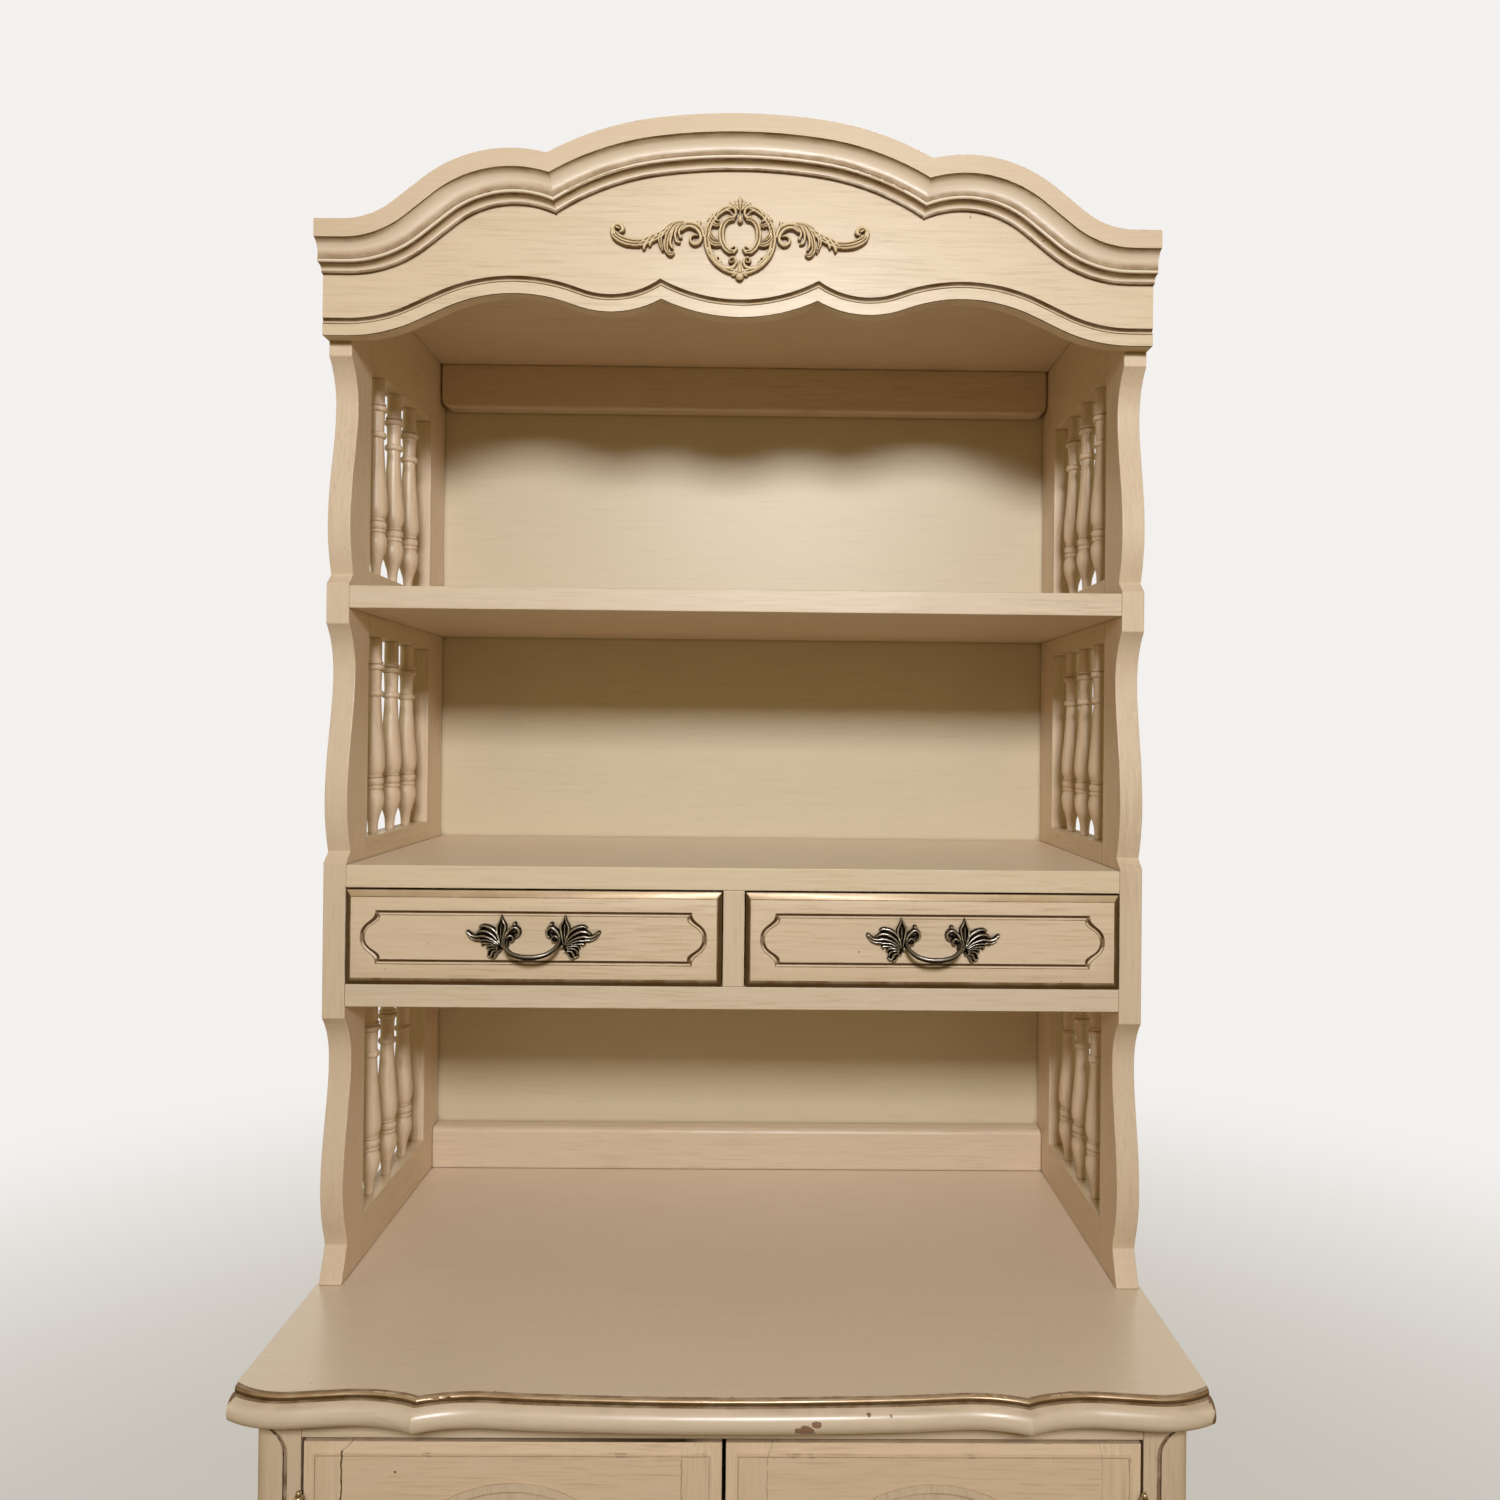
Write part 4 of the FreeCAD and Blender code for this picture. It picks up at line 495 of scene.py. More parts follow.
def board_back(name, seed):
    """Thin back board: painted cream in front, bare pressed fibre behind."""
    s = Shader(name)
    rear_face = s.between(s.axes(s.facing)[1], 0.3, 0.6)
    fine = s.noise(7, 4, GRAIN["x"], 0.62, seed + 3.1, 0.15)
    cloud = s.between(s.noise(3, 3, seed=seed), 0.35, 0.75)
    cream = toned(CREAM, 0.94, 1.02, 1.04)
    front = s.mix(s.times(cloud, 0.2), cream, toned(cream, 0.9, 0.88, 0.8))
    front = s.mix(s.times(s.between(fine, 0.48, 0.8), 0.22), front, toned(cream, 0.62))
    # The front darkens in its corners: glaze and painted shade.
    front = s.mix(s.times(s.crevice(0.008, 0.35, 0.8), 0.5), front, GLAZE_AND_SHADE)
    fibre = s.noise(420, 4, seed=seed + 1)
    rear = s.mix(s.between(fibre, 0.3, 0.7), HARDBOARD, toned(HARDBOARD, 1.5))
    colour = s.mix(rear_face, front, rear)
    roughness = s.plus(s.times(rear_face, 0.35), 0.42)
    height = s.plus(fine, s.times(fibre, rear_face, 1.5))
    return s.finish(colour, roughness, s.bump(height, 0.00012, 0.5))


def metal(name, bright, dark, roughness, seed=0):
    """Cast or pressed metal with dark patina left in its hollows."""
    s = Shader(name)
    mottle = s.between(s.noise(160, 4, seed=seed), 0.3, 0.75)
    hollow = s.crevice(0.004, 0.55, 0.98)
    # The hollow attribute is depth on the cast leaves; on the bail it paints shade under the tube and a
    # highlight along its top.
    hollow = s.most(hollow, s.between(s.attribute("hollow"), 0.1, 0.46))
    share = s.most(hollow, s.times(mottle, 0.45))
    colour = s.mix(share, bright, dark)
    rough = s.plus(s.times(share, 0.22), roughness)
    return s.finish(colour, rough, s.bump(mottle, 0.00008, 0.5), 1)


def plastic(name, colour):
    s = Shader(name)
    # Corners darken: painted shade.
    tint = s.mix(s.times(s.crevice(0.004), 0.6), colour, toned(colour, 0.4))
    return s.finish(tint, 0.5, s.bump(s.noise(900, 2), 0.00005, 0.4))


# ------------ pieces
def new_object(name, data):
    thing = bpy.data.objects.new(name, data)
    bpy.context.scene.collection.objects.link(thing)
    return thing


def closed(work, mesh):
    """Writes a working mesh out to a mesh, with its faces turned outwards, and frees it."""
    bmesh.ops.recalc_face_normals(work, faces=work.faces)
    work.to_mesh(mesh)
    work.free()
    return mesh


def set_hollow(mesh, values):
    """How deep every vertex lies: 0 on ridges, 1 in grooves."""
    mesh.attributes.new("hollow", "FLOAT", "POINT").data.foreach_set("value", values)


def glaze_faces(mesh, test):
    """The share of glaze painted on every face, from its middle and its normal."""
    layer = mesh.attributes.new("glaze", "FLOAT", "FACE")
    for face in mesh.polygons:
        layer.data[face.index].value = test(face.center, face.normal)


def square_ends(work):
    """Cuts the base top's moulding off square at both sides, draws it out to the end planes, and sets its
    two forward points back a little."""
    for side in (-1, 1):
        cut = bmesh.ops.bisect_plane(
            work, geom=work.verts[:] + work.edges[:] + work.faces[:], dist=1e-6,
            plane_co=(side * END_CUT, 0, 0), plane_no=(side, 0, 0), clear_outer=True,
        )
        rim = [edge for edge in cut["geom_cut"] if isinstance(edge, bmesh.types.BMEdge)]
        bmesh.ops.edgeloop_fill(work, edges=rim)
    stretch = (END_PLANE - END_FROM) / (END_CUT - END_FROM)
    for vert in work.verts:
        near_cusp = max(1 - abs(abs(vert.co.x) - CUSP_X) / CUSP_REACH, 0)
        near_front = min(max((CUSP_FROM - vert.co.y) / CUSP_FADE, 0), 1)
        vert.co.y += CUSP_BACK * near_cusp**2 * near_front
        past = abs(vert.co.x) - END_FROM
        if past > 0:
            vert.co.x = math.copysign(END_FROM + past * stretch, vert.co.x)


def welded(node, shape=None):
    """A fresh mesh of a CAD node: vertices joined, changed by shape(work), flat ground made whole."""
    source = NODES[node].data
    mesh = bpy.data.meshes.new(node)
    mesh.from_pydata([v.co.copy() for v in source.vertices], [], [list(p.vertices) for p in source.polygons])
    work = bmesh.new()
    work.from_mesh(mesh)
    bmesh.ops.remove_doubles(work, verts=work.verts, dist=WELD)
    bmesh.ops.dissolve_degenerate(work, edges=work.edges, dist=SLIVER)
    if shape:
        shape(work)
    bmesh.ops.dissolve_limit(
        work, angle_limit=math.radians(FLAT_ANGLE), verts=work.verts, edges=work.edges, delimit={"NORMAL"}
    )
    return closed(work, mesh)


def islands(work):
    """The loose parts of a mesh, each as a list of its vertices."""
    left = set(work.verts)
    found = []
    while left:
        island = [left.pop()]
        for vert in island:
            for link in vert.link_edges:
                other = link.other_vert(vert)
                if other in left:
                    left.discard(other)
                    island.append(other)
        found.append(island)
    return found


def only_islands(mesh, keep):
    """Leaves the loose parts of a mesh for which keep(list of vertex places) is true."""
    work = bmesh.new()
    work.from_mesh(mesh)
    for island in islands(work):
        if not keep([vert.co for vert in island]):
            bmesh.ops.delete(work, geom=island, context="VERTS")
    return closed(work, mesh)


def place_piece(name, mesh, node, material, angle=SMOOTH_ANGLE):
    """Stands a mesh in for a CAD node. Its edges stay sharp where faces meet at more than angle."""
    mesh.materials.clear()
    mesh.materials.append(material)
    mesh.shade_smooth()
    mesh.set_sharp_from_angle(angle=math.radians(angle))
    piece = new_object(name, mesh)
    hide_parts(node)
    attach(piece, BODY_OF[node])
    return piece


def dress(node, material, ease=0.0, glaze=None, second=None, is_second=None, shape=None):
    """Stands a finer copy in for a CAD node: edges eased by a width in metres, smooth curves and its own
    finish. Faces for which is_second(centre) is true take the second material.
    """
    mesh = welded(node, shape)
    if glaze:
        glaze_faces(mesh, glaze)
    piece = place_piece(node + "_finished", mesh, node, material)
    if second:
        mesh.materials.append(second)
        for face in mesh.polygons:
            face.material_index = 1 if is_second(face.center) else 0
    if ease:
        bevel = piece.modifiers.new("eased", "BEVEL")
        bevel.width = ease
        bevel.segments = EASE_SEGMENTS
        bevel.limit_method = "ANGLE"
        bevel.angle_limit = math.radians(EASE_ANGLE)
        bevel.harden_normals = True
        bevel.use_clamp_overlap = True


# ------------ carved and cast ornament
def through(points, step=0.4):
    """A smooth line through points, each of any number of values, as points about a step apart."""
    points = [np.array(point, float) for point in points]
    points = [2 * points[0] - points[1]] + points + [2 * points[-1] - points[-2]]
    line = []
    for a, b, c, d in zip(points, points[1:], points[2:], points[3:]):
        samples = max(int(np.linalg.norm(c - b) / step), 2)
        for i in range(samples):
            t = i / samples
            bend = (2 * a - 5 * b + 4 * c - d) * t**2
            twist = (3 * b - a - 3 * c + d) * t**3
            line.append(0.5 * (2 * b + (c - a) * t + bend + twist))
    line.append(points[-2])
    return line


def spiral(x, z, outer, inner, start, turns, width):
    """Points (x, z, half width) that wind in to an eye; start is in degrees, and turns may be negative."""
    line = []
    steps = 12
    for i in range(steps + 1):
        share = i / steps
        reach = outer + (inner - outer) * share
        angle = math.radians(start + 360 * turns * share)
        line.append((x + reach * math.cos(angle), z + reach * math.sin(angle), width * (1 - 0.45 * share)))
    return line


class Relief:
    """A plate in the XZ plane whose outline and height come from round strokes, in millimetres."""

    def __init__(self, half_width, low, high, step):
        self.step = step
        self.x = np.arange(-half_width, half_width + step, step)
        self.z = np.arange(low, high + step, step)
        self.inside_by = np.full((len(self.x), len(self.z)), OUTSIDE)
        self.height = np.zeros((len(self.x), len(self.z)))

    def window(self, x, z, reach):
        """The part of the grid within reach of a spot, and how far its points are from the spot."""
        part = []
        for at, line in ((x, self.x), (z, self.z)):
            first = int((at - reach - line[0]) / self.step)
            last = int((at + reach - line[0]) / self.step) + 2
            part.append(slice(max(first, 0), max(last, 0)))
        far = np.hypot(self.x[part[0], None] - x, self.z[None, part[1]] - z)
        return tuple(part), far

    def dab(self, x, z, radius, height):
        """A dome on both halves."""
        for side in (-1, 1):
            part, far = self.window(side * x, z, radius + 2 * self.step)
            dome = height * np.sqrt(np.clip(1 - (far / radius) ** 2, 0, 1))
            self.inside_by[part] = np.maximum(self.inside_by[part], radius - far)
            self.height[part] = np.maximum(self.height[part], dome)

    def pit(self, x, z, radius, depth):
        """A drilled eye on both halves, such as a volute's."""
        for side in (-1, 1):
            part, far = self.window(side * x, z, radius + self.step)
            self.height[part] -= depth * np.clip(1.4 - 1.4 * far / radius, 0, 1)

    def stroke(self, points, height, end_height=None, ridges=1):
        """A raised line through (x, z, half width) points, with one or more ridges along it."""
        line = through(points)
        end_height = height if end_height is None else end_height
        for i, (x, z, radius) in enumerate(line):
            share = i / (len(line) - 1)
            tall = height + (end_height - height) * share
            radius = max(radius, 0.4)
            if ridges == 1:
                self.dab(x, z, radius, tall)
                continue
            self.dab(x, z, radius, 0.62 * tall)
            before = line[max(i - 1, 0)]
            after = line[min(i + 1, len(line) - 1)]
            ahead = (after - before)[:2] / max(np.linalg.norm((after - before)[:2]), 1e-6)
            small = radius / ridges * 1.06
            for k in range(ridges):
                aside = (2 * k + 1 - ridges) / ridges * radius
                self.dab(x - ahead[1] * aside, z + ahead[0] * aside, small, tall)

    def hollow(self):
        """How far the surface lies under the ground round it: 0 on ridges, 1 in grooves."""
        inside = (self.inside_by > 0).astype(float)
        wide = max(int(HOLLOW_REACH / self.step), 1)

        def blurred(grid):
            total = np.zeros_like(grid)
            for i in range(-wide, wide + 1):
                for j in range(-wide, wide + 1):
                    total += np.roll(np.roll(grid, i, 0), j, 1)
            return total

        mean = blurred(self.height * inside) / np.maximum(blurred(inside), 1)
        return np.clip(0.5 + (mean - self.height), 0, 1)

    def mesh(self, name, edge):
        """A closed mesh in metres, with its back on Y = 0 and its front towards -Y."""
        hollow = self.hollow()
        level = self.inside_by
        spots = []
        known = {}

        def spot(key, x, z, tall, low):
            if key not in known:
                known[key] = len(spots)
                spots.append((x, z, edge + max(tall, 0.0), low))
            return known[key]

        def corner(p):
            return spot(p, self.x[p[0]], self.z[p[1]], self.height[p], hollow[p])

        def crossing(p, q):
            if q < p:
                p, q = q, p
            t = level[p] / (level[p] - level[q])
            x = self.x[p[0]] + (self.x[q[0]] - self.x[p[0]]) * t
            z = self.z[p[1]] + (self.z[q[1]] - self.z[p[1]]) * t
            return spot((p, q), x, z, 0.0, 0.8)

        faces = []
        near = np.argwhere(level > 0)
        cells = {(i - a, j - b) for i, j in near for a in (0, 1) for b in (0, 1)}
        for i, j in sorted(cells):
            ring = [(i, j), (i + 1, j), (i + 1, j + 1), (i, j + 1)]
            face = []
            for p, q in zip(ring, ring[1:] + ring[:1]):
                if level[p] > 0:
                    face.append(corner(p))
                if (level[p] > 0) != (level[q] > 0):
                    face.append(crossing(p, q))
            if len(face) > 2:
                faces.append(face)
        count = len(spots)
        verts = [(x * MM, -y * MM, z * MM) for x, z, y, low in spots]
        verts += [(x * MM, 0.0, z * MM) for x, z, y, low in spots]
        edges = {(a, b) for face in faces for a, b in zip(face, face[1:] + face[:1])}
        walls = [(b, a, a + count, b + count) for a, b in edges if (b, a) not in edges]
        backs = [[v + count for v in reversed(face)] for face in faces]
        mesh = bpy.data.meshes.new(name)
        mesh.from_pydata(verts, [], faces + sorted(walls) + backs)
        set_hollow(mesh, [low for x, z, y, low in spots] + [0.9] * count)
        return mesh


def carved_cartouche():
    """The bonnet's ornament: an oval ring, a scrolled frame inside it, a palmette, a bud and two arms."""
    relief = Relief(121, -43, 41, 0.45)
    stroke = relief.stroke
    # Ring.
    ring = []
    for turn in range(-90, 91, 6):
        a = math.radians(turn)
        ring.append((30.3 * math.cos(a), -1.2 + 30.6 * math.sin(a), 3.2 - 0.5 * abs(math.sin(a))))
    stroke(ring, 4.6, 4.6, 2)
    # Frame round the opening, curled at its foot.
    stroke([(6.2, 17, 1.9), (11.4, 15.6, 2.3), (15.4, 11.2, 2.7), (17, 4.2, 2.9), (16.4, -3.2, 2.9),
            (13.6, -9.2, 2.8), (9.4, -12.9, 2.4), (5.4, -13.2, 1.9)], 5.2, 4.8, 2)
    stroke([(5.4, -13.2, 1.9), (3.2, -10.4, 1.4), (5, -8, 1.3), (7.2, -9.4, 1.1)], 4.8)
    # Upper volutes: a hooked band round a drilled eye, with a thinner strand inside it.
    stroke([(21, 18.6, 0.7), (19.8, 22.4, 1.3), (16.2, 26, 1.8), (12, 27.7, 2), (7.6, 27.4, 1.8),
            (4.6, 25, 1.6), (3.9, 21.4, 1.5), (5.2, 18.6, 1.5), (7.6, 17.6, 1.5),
            (10.2, 18.8, 1.1)], 5.4, 6)
    stroke([(18.6, 20.8, 0.7), (15.6, 23.5, 1), (12, 24.4, 1.1), (9, 23.4, 1), (7.4, 20.9, 0.8)], 4.4)
    relief.pit(6.6, 22.8, 1.3, 4.5)
    # Leaves inside the ring, from the top down.
    stroke([(24.6, 21, 1.4), (22.6, 16.8, 1.5), (19.6, 14.9, 0.9)], 5, 4)
    stroke([(28.4, 16.6, 1.8), (25, 12.4, 2.1), (21.4, 11, 1.8), (18.6, 11.4, 1.3)], 5.2, 4.8, 2)
    stroke([(28.4, 8, 1.5), (26.4, 2.4, 1.9), (23.6, -1.4, 1.8), (21.2, -3, 1.1)], 5.2, 4.2, 2)
    stroke([(29.4, -1, 1.8), (26, -5.2, 2.2), (21.4, -6.8, 2.2), (16.6, -6.2, 1.5)], 5.6, 5, 2)
    stroke([(29, -10.4, 1.5), (25.6, -15.8, 1.9), (22.6, -18.2, 1.6), (19.8, -18, 0.9)], 5, 4)
    stroke([(28.2, -13.6, 1.6), (24.4, -19.6, 2.1), (20.6, -22.2, 1.8), (17.2, -22, 1)], 5.2, 4, 2)
    # Foot: scrolls, spine, leaves and a ball.
    stroke([(26, -17.6, 1.5), (21.4, -24.2, 2.1), (14, -28.2, 2.4), (7.4, -27.8, 2.1),
            (3.9, -24.6, 1.7)] + spiral(7.1, -21.2, 3.4, 1, 190, -1.15, 1.5), 5.4, 5.2)
    relief.pit(7.3, -21.2, 1.3, 4)
    stroke([(0, -21.6, 0.9), (0, -26, 1.7), (0, -31.5, 2.3)], 5.8)
    stroke([(0.8, -25.6, 1.2), (4.4, -31.2, 1.8), (10.6, -32.2, 0.9)], 5, 3.8)
    stroke([(0.8, -28, 1.2), (3.6, -33.2, 1.6), (6.8, -34.6, 0.9)], 4.8, 3.6)
    relief.dab(0, -35.8, 4, 6.4)
    # Palmette and bud.
    stroke([(0, 24, 1), (0, 28.5, 1.3), (0, 32.4, 2), (0, 34.9, 2.2), (0, 37.8, 0.5)], 6.2, 5.2)
    stroke([(1.4, 25.2, 1), (3, 29.6, 1.4), (4.6, 33, 0.9)], 5.4, 4.6)
    stroke([(2.4, 25.6, 1.1), (5.8, 29.8, 1.5), (9.2, 31.8, 0.9)], 5.2, 4.4)
    stroke([(0, 24.6, 1), (0, 20, 1.1), (0, 16.6, 2.3)], 5.4, 6.2)
    relief.dab(0, 15.3, 2.6, 6.4)
    # Arms: a volute beside the ring, an upper strand with a bead, and a spray of leaves.
    stroke([(53.6, 6, 1.5), (48, 9.2, 1.8), (42.4, 8.6, 1.9), (37.8, 4.8, 1.9), (35.8, -0.4, 1.9),
            (37.2, -4.8, 2), (41, -6.6, 2), (44.8, -4.4, 1.8), (45.2, -0.6, 1.5), (42.4, 1.8, 1.4),
            (39.4, 1.4, 1.2)], 5.6, 4.8)
    relief.pit(40.2, -1, 1.7, 4)
    stroke([(33.2, 1, 1.8), (36.2, 9, 1.9), (43.4, 12.5, 1.9), (51, 12.8, 2.2)], 5, 5.4)
    stroke([(37.4, 9.6, 1.6), (37.4, 14.2, 1.9)], 5)
    stroke([(50, 13, 1.6), (58, 12.6, 2), (66, 8.6, 2.4), (71.6, 2.4, 2.4), (73, -4.2, 2),
            (70.6, -12.4, 1.1)], 4.8, 4.6, 2)
    stroke([(51, 12.2, 1.6), (59.6, 10.6, 2.2), (65, 3.1, 2.4), (67.2, -4.6, 2.4), (67, -12, 2.2),
            (63.4, -16.2, 1.9), (60.8, -14.8, 1.5)], 5.8, 5, 2)
    stroke([(51, 11.6, 1.5), (57.4, 10.4, 1.7), (61.4, 5.4, 1.8), (63.4, -1, 1.7), (63.6, -6.4, 1.5),
            (62, -10.4, 1.3)], 5.4, 4.6)
    stroke([(50, 11.4, 1.4), (55.6, 10, 1.6), (58.6, 5.6, 1.6), (59.2, 0.4, 1.5), (57.8, -4.2, 1.5),
            (55.4, -5, 1.3)], 5, 4.4)
    stroke([(50, 10.6, 1.3), (54, 8.2, 1.4), (55.8, 4.2, 1.4), (54.8, 0, 1.4)], 4.6)
    relief.dab(54.4, -0.4, 1.8, 4.8)
    # Stem and end scroll.
    stroke([(62, 9.6, 1.8), (68, 5, 2.6), (74, 1, 3.2), (82.6, -3.2, 3.5), (91, -6, 3.4),
            (100.6, -5.6, 3.9), (107.4, -3.6, 3.9), (113.2, -0.2, 3.5), (116.2, 4.6, 2.6)], 4.6, 5.2, 3)
    stroke([(115.4, 2.6, 2.8), (116.6, 6.2, 2.3), (114.6, 9.6, 2.2), (111.2, 10.8, 2.1), (108.2, 9, 2.2),
            (107, 5.6, 2.1), (109.4, 3.6, 1.4)], 5.6, 4.8)
    stroke([(113, 8, 1.2), (110.6, 7.2, 1.2)], 4.2)
    relief.pit(113, 4.6, 1.5, 4)
    stroke([(80, 0.8, 1.4), (84.6, -4.6, 1.8), (87.4, -9.6, 1.7), (87.6, -11.4, 1.4)], 5.8, 4.8)
    stroke([(76, 1.6, 1.3), (80.4, -3.8, 1.7), (82.4, -8.2, 1.3)], 5.4, 4.4)
    stroke([(84.6, -0.6, 1.2), (89.6, -5.4, 1.5), (92.4, -8.8, 0.9)], 5.4, 4)
    return relief.mesh("cartouche_carving", 1.4)


def cast_leaves():
    """The plates behind a pull's bail: fluted side leaves, an upright spike, a curl and a volute."""
    relief = Relief(64.5, -22.5, 21, 0.36)
    stroke = relief.stroke
    # Low ground that joins each leaf's ribs.
    stroke([(31, -4.6, 2.6), (37, 1.4, 4.4), (44, 4, 4.8), (51, 2, 3)], 2.2)
    stroke([(46, -0.8, 3.6), (52, -0.6, 3), (57, 0.6, 2.3), (60.4, 3.6, 1.6)], 2.4)
    stroke([(32, -10.4, 2.4), (37, -10.4, 3.6), (38.6, -14, 3)], 2.2)
    stroke([(29, -5, 3.2), (29.3, 4, 3.9), (29.1, 10.5, 3.4), (29.3, 15, 1.6)], 2.4)
    stroke([(24.4, -3, 2.4), (20.4, 3.6, 3.4), (16.4, 5.6, 2.6)], 2.4)
    # Side leaf: four flowing ribs, the third drawn out to the tip, and a small lobe below them.
    stroke([(30.2, -2.6, 1.2), (33.6, 4.6, 1.6), (39.2, 8.8, 1.7), (45.6, 10.4, 1.5),
            (49.4, 9.4, 0.9)], 5.6, 3.6)
    stroke([(30.6, -4.4, 1.2), (36.4, 1.8, 1.5), (43, 5.4, 1.6), (49.4, 5.2, 1.5),
            (53, 2.4, 0.9)], 5.8, 3.8)
    stroke([(31, -6, 1.2), (37.8, -1.2, 1.4), (45.6, 1.2, 1.5), (51.6, 0.6, 1.7), (56.4, 1.6, 1.8),
            (59.8, 4.4, 1.5)], 5.8, 4.8)
    stroke([(48.6, -1.8, 1.2), (53.4, -2, 1.4), (57.4, -0.4, 1.3), (60, 2.2, 1)], 5, 3.8)
    relief.dab(60.6, 4.6, 1.8, 4.8)
    stroke([(31.4, -7.2, 1.1), (37.6, -3.9, 1.3), (43.4, -2.7, 1.3), (48.8, -3, 1.3),
            (53, -3.2, 0.8)], 5.2, 3.6)
    stroke([(36, -6.2, 1), (42, -5.6, 1.3), (47, -5.8, 1.3), (46, -7.6, 0.9)], 4.8, 4)
    # Lower leaf: ribs round a small volute, with the tip turned out.
    stroke([(31.6, -8.6, 1.1), (36, -7.6, 1.2), (40.8, -7.9, 1.3), (42.8, -10, 0.9)], 5.2, 3.8)
    stroke([(32, -10, 1.1), (37.4, -10, 1.3), (40.6, -12.4, 1.3), (40.8, -15.2, 0.9)], 5.4, 3.8)
    stroke([(32.4, -11.8, 1.1), (36, -12.6, 1.4), (37.4, -15.4, 1.5), (38.8, -17.8, 1.5),
            (41.4, -16.8, 1.2)], 5.8, 4.6)
    stroke([(32, -13.4, 1), (33.6, -16, 1.3), (35.2, -18.6, 1.3), (37.4, -19.4, 1)], 5.2, 4.2)
    stroke(spiral(30.6, -10.8, 2.4, 0.7, 60, -1, 1.2), 5.8)
    # Upright spike: two bowed edges and a middle rib.
    stroke([(29.6, -6, 1.5), (32.6, 3.2, 1.5), (33, 9.2, 1.4), (30.8, 14.8, 1.1),
            (29.4, 20, 0.6)], 5.8, 3.2)
    stroke([(28.4, -6, 1.5), (26.4, 3, 1.4), (25.4, 10.2, 1.4), (27.8, 15.4, 1), (29.4, 20, 0.6)], 5.6, 3.2)
    stroke([(29, -4, 1.1), (29.4, 4, 1.1), (29.2, 12, 0.8)], 4.8, 3.6)
    # Curl with a ball, and the volute that the bail grows from.
    stroke([(25.4, -4, 1.7), (24.4, 2.4, 1.7), (20.6, 7.6, 1.8), (16.6, 9.4, 1.8), (13.2, 6.8, 1.8),
            (12.9, 2.8, 1.7), (15.6, 0.4, 1.2)], 6, 5)
    relief.dab(17, 12.2, 2.1, 5.6)
    stroke([(23.8, -8, 1.7), (24, -2, 1.6), (21.2, 1.9, 1.5), (18, 0.2, 1.3), (18.4, -3, 1.2),
            (20.6, -3.4, 0.9)], 6.8, 5.6)
    relief.dab(26.8, -7.4, 3, 7)
    return relief.mesh("pull_leaves", 1)


def tube(line, flatten):
    """A closed tube in metres along (x, y, z, radius) points in millimetres, slimmer one way."""
    verts = []
    rings = []
    points = [Vector(point[:3]) for point in line]
    across = Vector((0, 0, 1))
    for i, point in enumerate(points):
        ahead = (points[min(i + 1, len(points) - 1)] - points[max(i - 1, 0)]).normalized()
        across = (across - ahead * across.dot(ahead)).normalized()
        other = ahead.cross(across)
        wide = line[i][3]
        deep = wide * flatten
        ring = []
        for k in range(TUBE_SIDES):
            turn = 2 * math.pi * k / TUBE_SIDES
            spot = point + across * (wide * math.cos(turn)) + other * (deep * math.sin(turn))
            ring.append(len(verts))
            verts.append(spot * MM)
        rings.append(ring)
    faces = []
    for low, high in zip(rings, rings[1:]):
        for k in range(TUBE_SIDES):
            n = (k + 1) % TUBE_SIDES
            faces.append((low[k], low[n], high[n], high[k]))
    faces.append(tuple(reversed(rings[0])))
    faces.append(tuple(rings[-1]))
    mesh = bpy.data.meshes.new("tube")
    mesh.from_pydata(verts, [], faces)
    return mesh


def pull_bail():
    """The bail between the two volutes: slim at its ends, thicker and further out in the middle."""
    half = [
        (23.6, -4, 1.4, 1.8), (25, -8.5, -2.8, 2.1), (22.8, -14.5, -7.6, 2.3),
        (16.2, -19.4, -12.2, 2.6), (8, -21.4, -14.4, 2.8),
    ]
    line = half + [(0, -21.8, -14.9, 2.9)] + [(-x, y, z, r) for x, y, z, r in reversed(half)]
    mesh = tube(through(line, 1.2), 0.86)
    # Round the tube the hollow share rises from its top to its underside: painted shade below, a painted
    # highlight on top.
    turns = [2 * math.pi * k / TUBE_SIDES for k in range(TUBE_SIDES)]
    set_hollow(mesh, [0.6 - 0.3 * math.cos(turn) for turn in turns] * (len(mesh.vertices) // TUBE_SIDES))
    return mesh


def spindle_line(top):
    """Half outline of a spindle, as (radius, height) in mm up to its top: bulb, rings, vase, neck."""
    bulb = [
        (4.7, 0), (4.8, 5), (5.5, 13), (7.5, 20), (9.7, 27), (10.9, 34), (10.5, 40),
        (8.7, 44.4),
    ]
    vase = [
        (8.4, 59.6), (9.8, 62.4), (11, 67), (11.3, 72), (11, 81), (9.8, 95), (8.5, 109),
        (7.6, 122), (6.9, max(136, top - 90)), (6.7, top - 60.2),
    ]
    rings = [(44.8, 49, 8.6, 9.9), (49.2, 56.6, 8.7, 10.2), (56.8, 59.2, 8.3, 9.2)]
    neck = [(7, top - 53.4), (7, top - 44), (7.6, top - 33.6)]
    line = [(0, -TENON), (TENON_RADIUS, -TENON), (TENON_RADIUS, 0), *through(bulb, 1.6)]
    for ring in rings:
        line += half_round(*ring)
    line += through(vase, 3)
    line += half_round(top - 60, top - 53.6, 7.2, 9.4)
    line += through(neck, 2.5)
    line += half_round(top - 33.4, top - 27.4, 7.4, 10)
    line += half_round(top - 27.2, top - 24, 7.3, 8.8)
    tenon = [(TENON_RADIUS, top), (TENON_RADIUS, top + TENON), (0, top + TENON)]
    return line + [(7.3, top - 23.8), (7.3, top), *tenon]


def half_round(low, high, foot, crest):
    """Outline of a turned ring."""
    turns = [math.pi * i / (RING_POINTS - 1) for i in range(RING_POINTS)]
    middle, half = (low + high) / 2, (high - low) / 2
    return [(foot + (crest - foot) * math.sin(turn), middle - half * math.cos(turn)) for turn in turns]


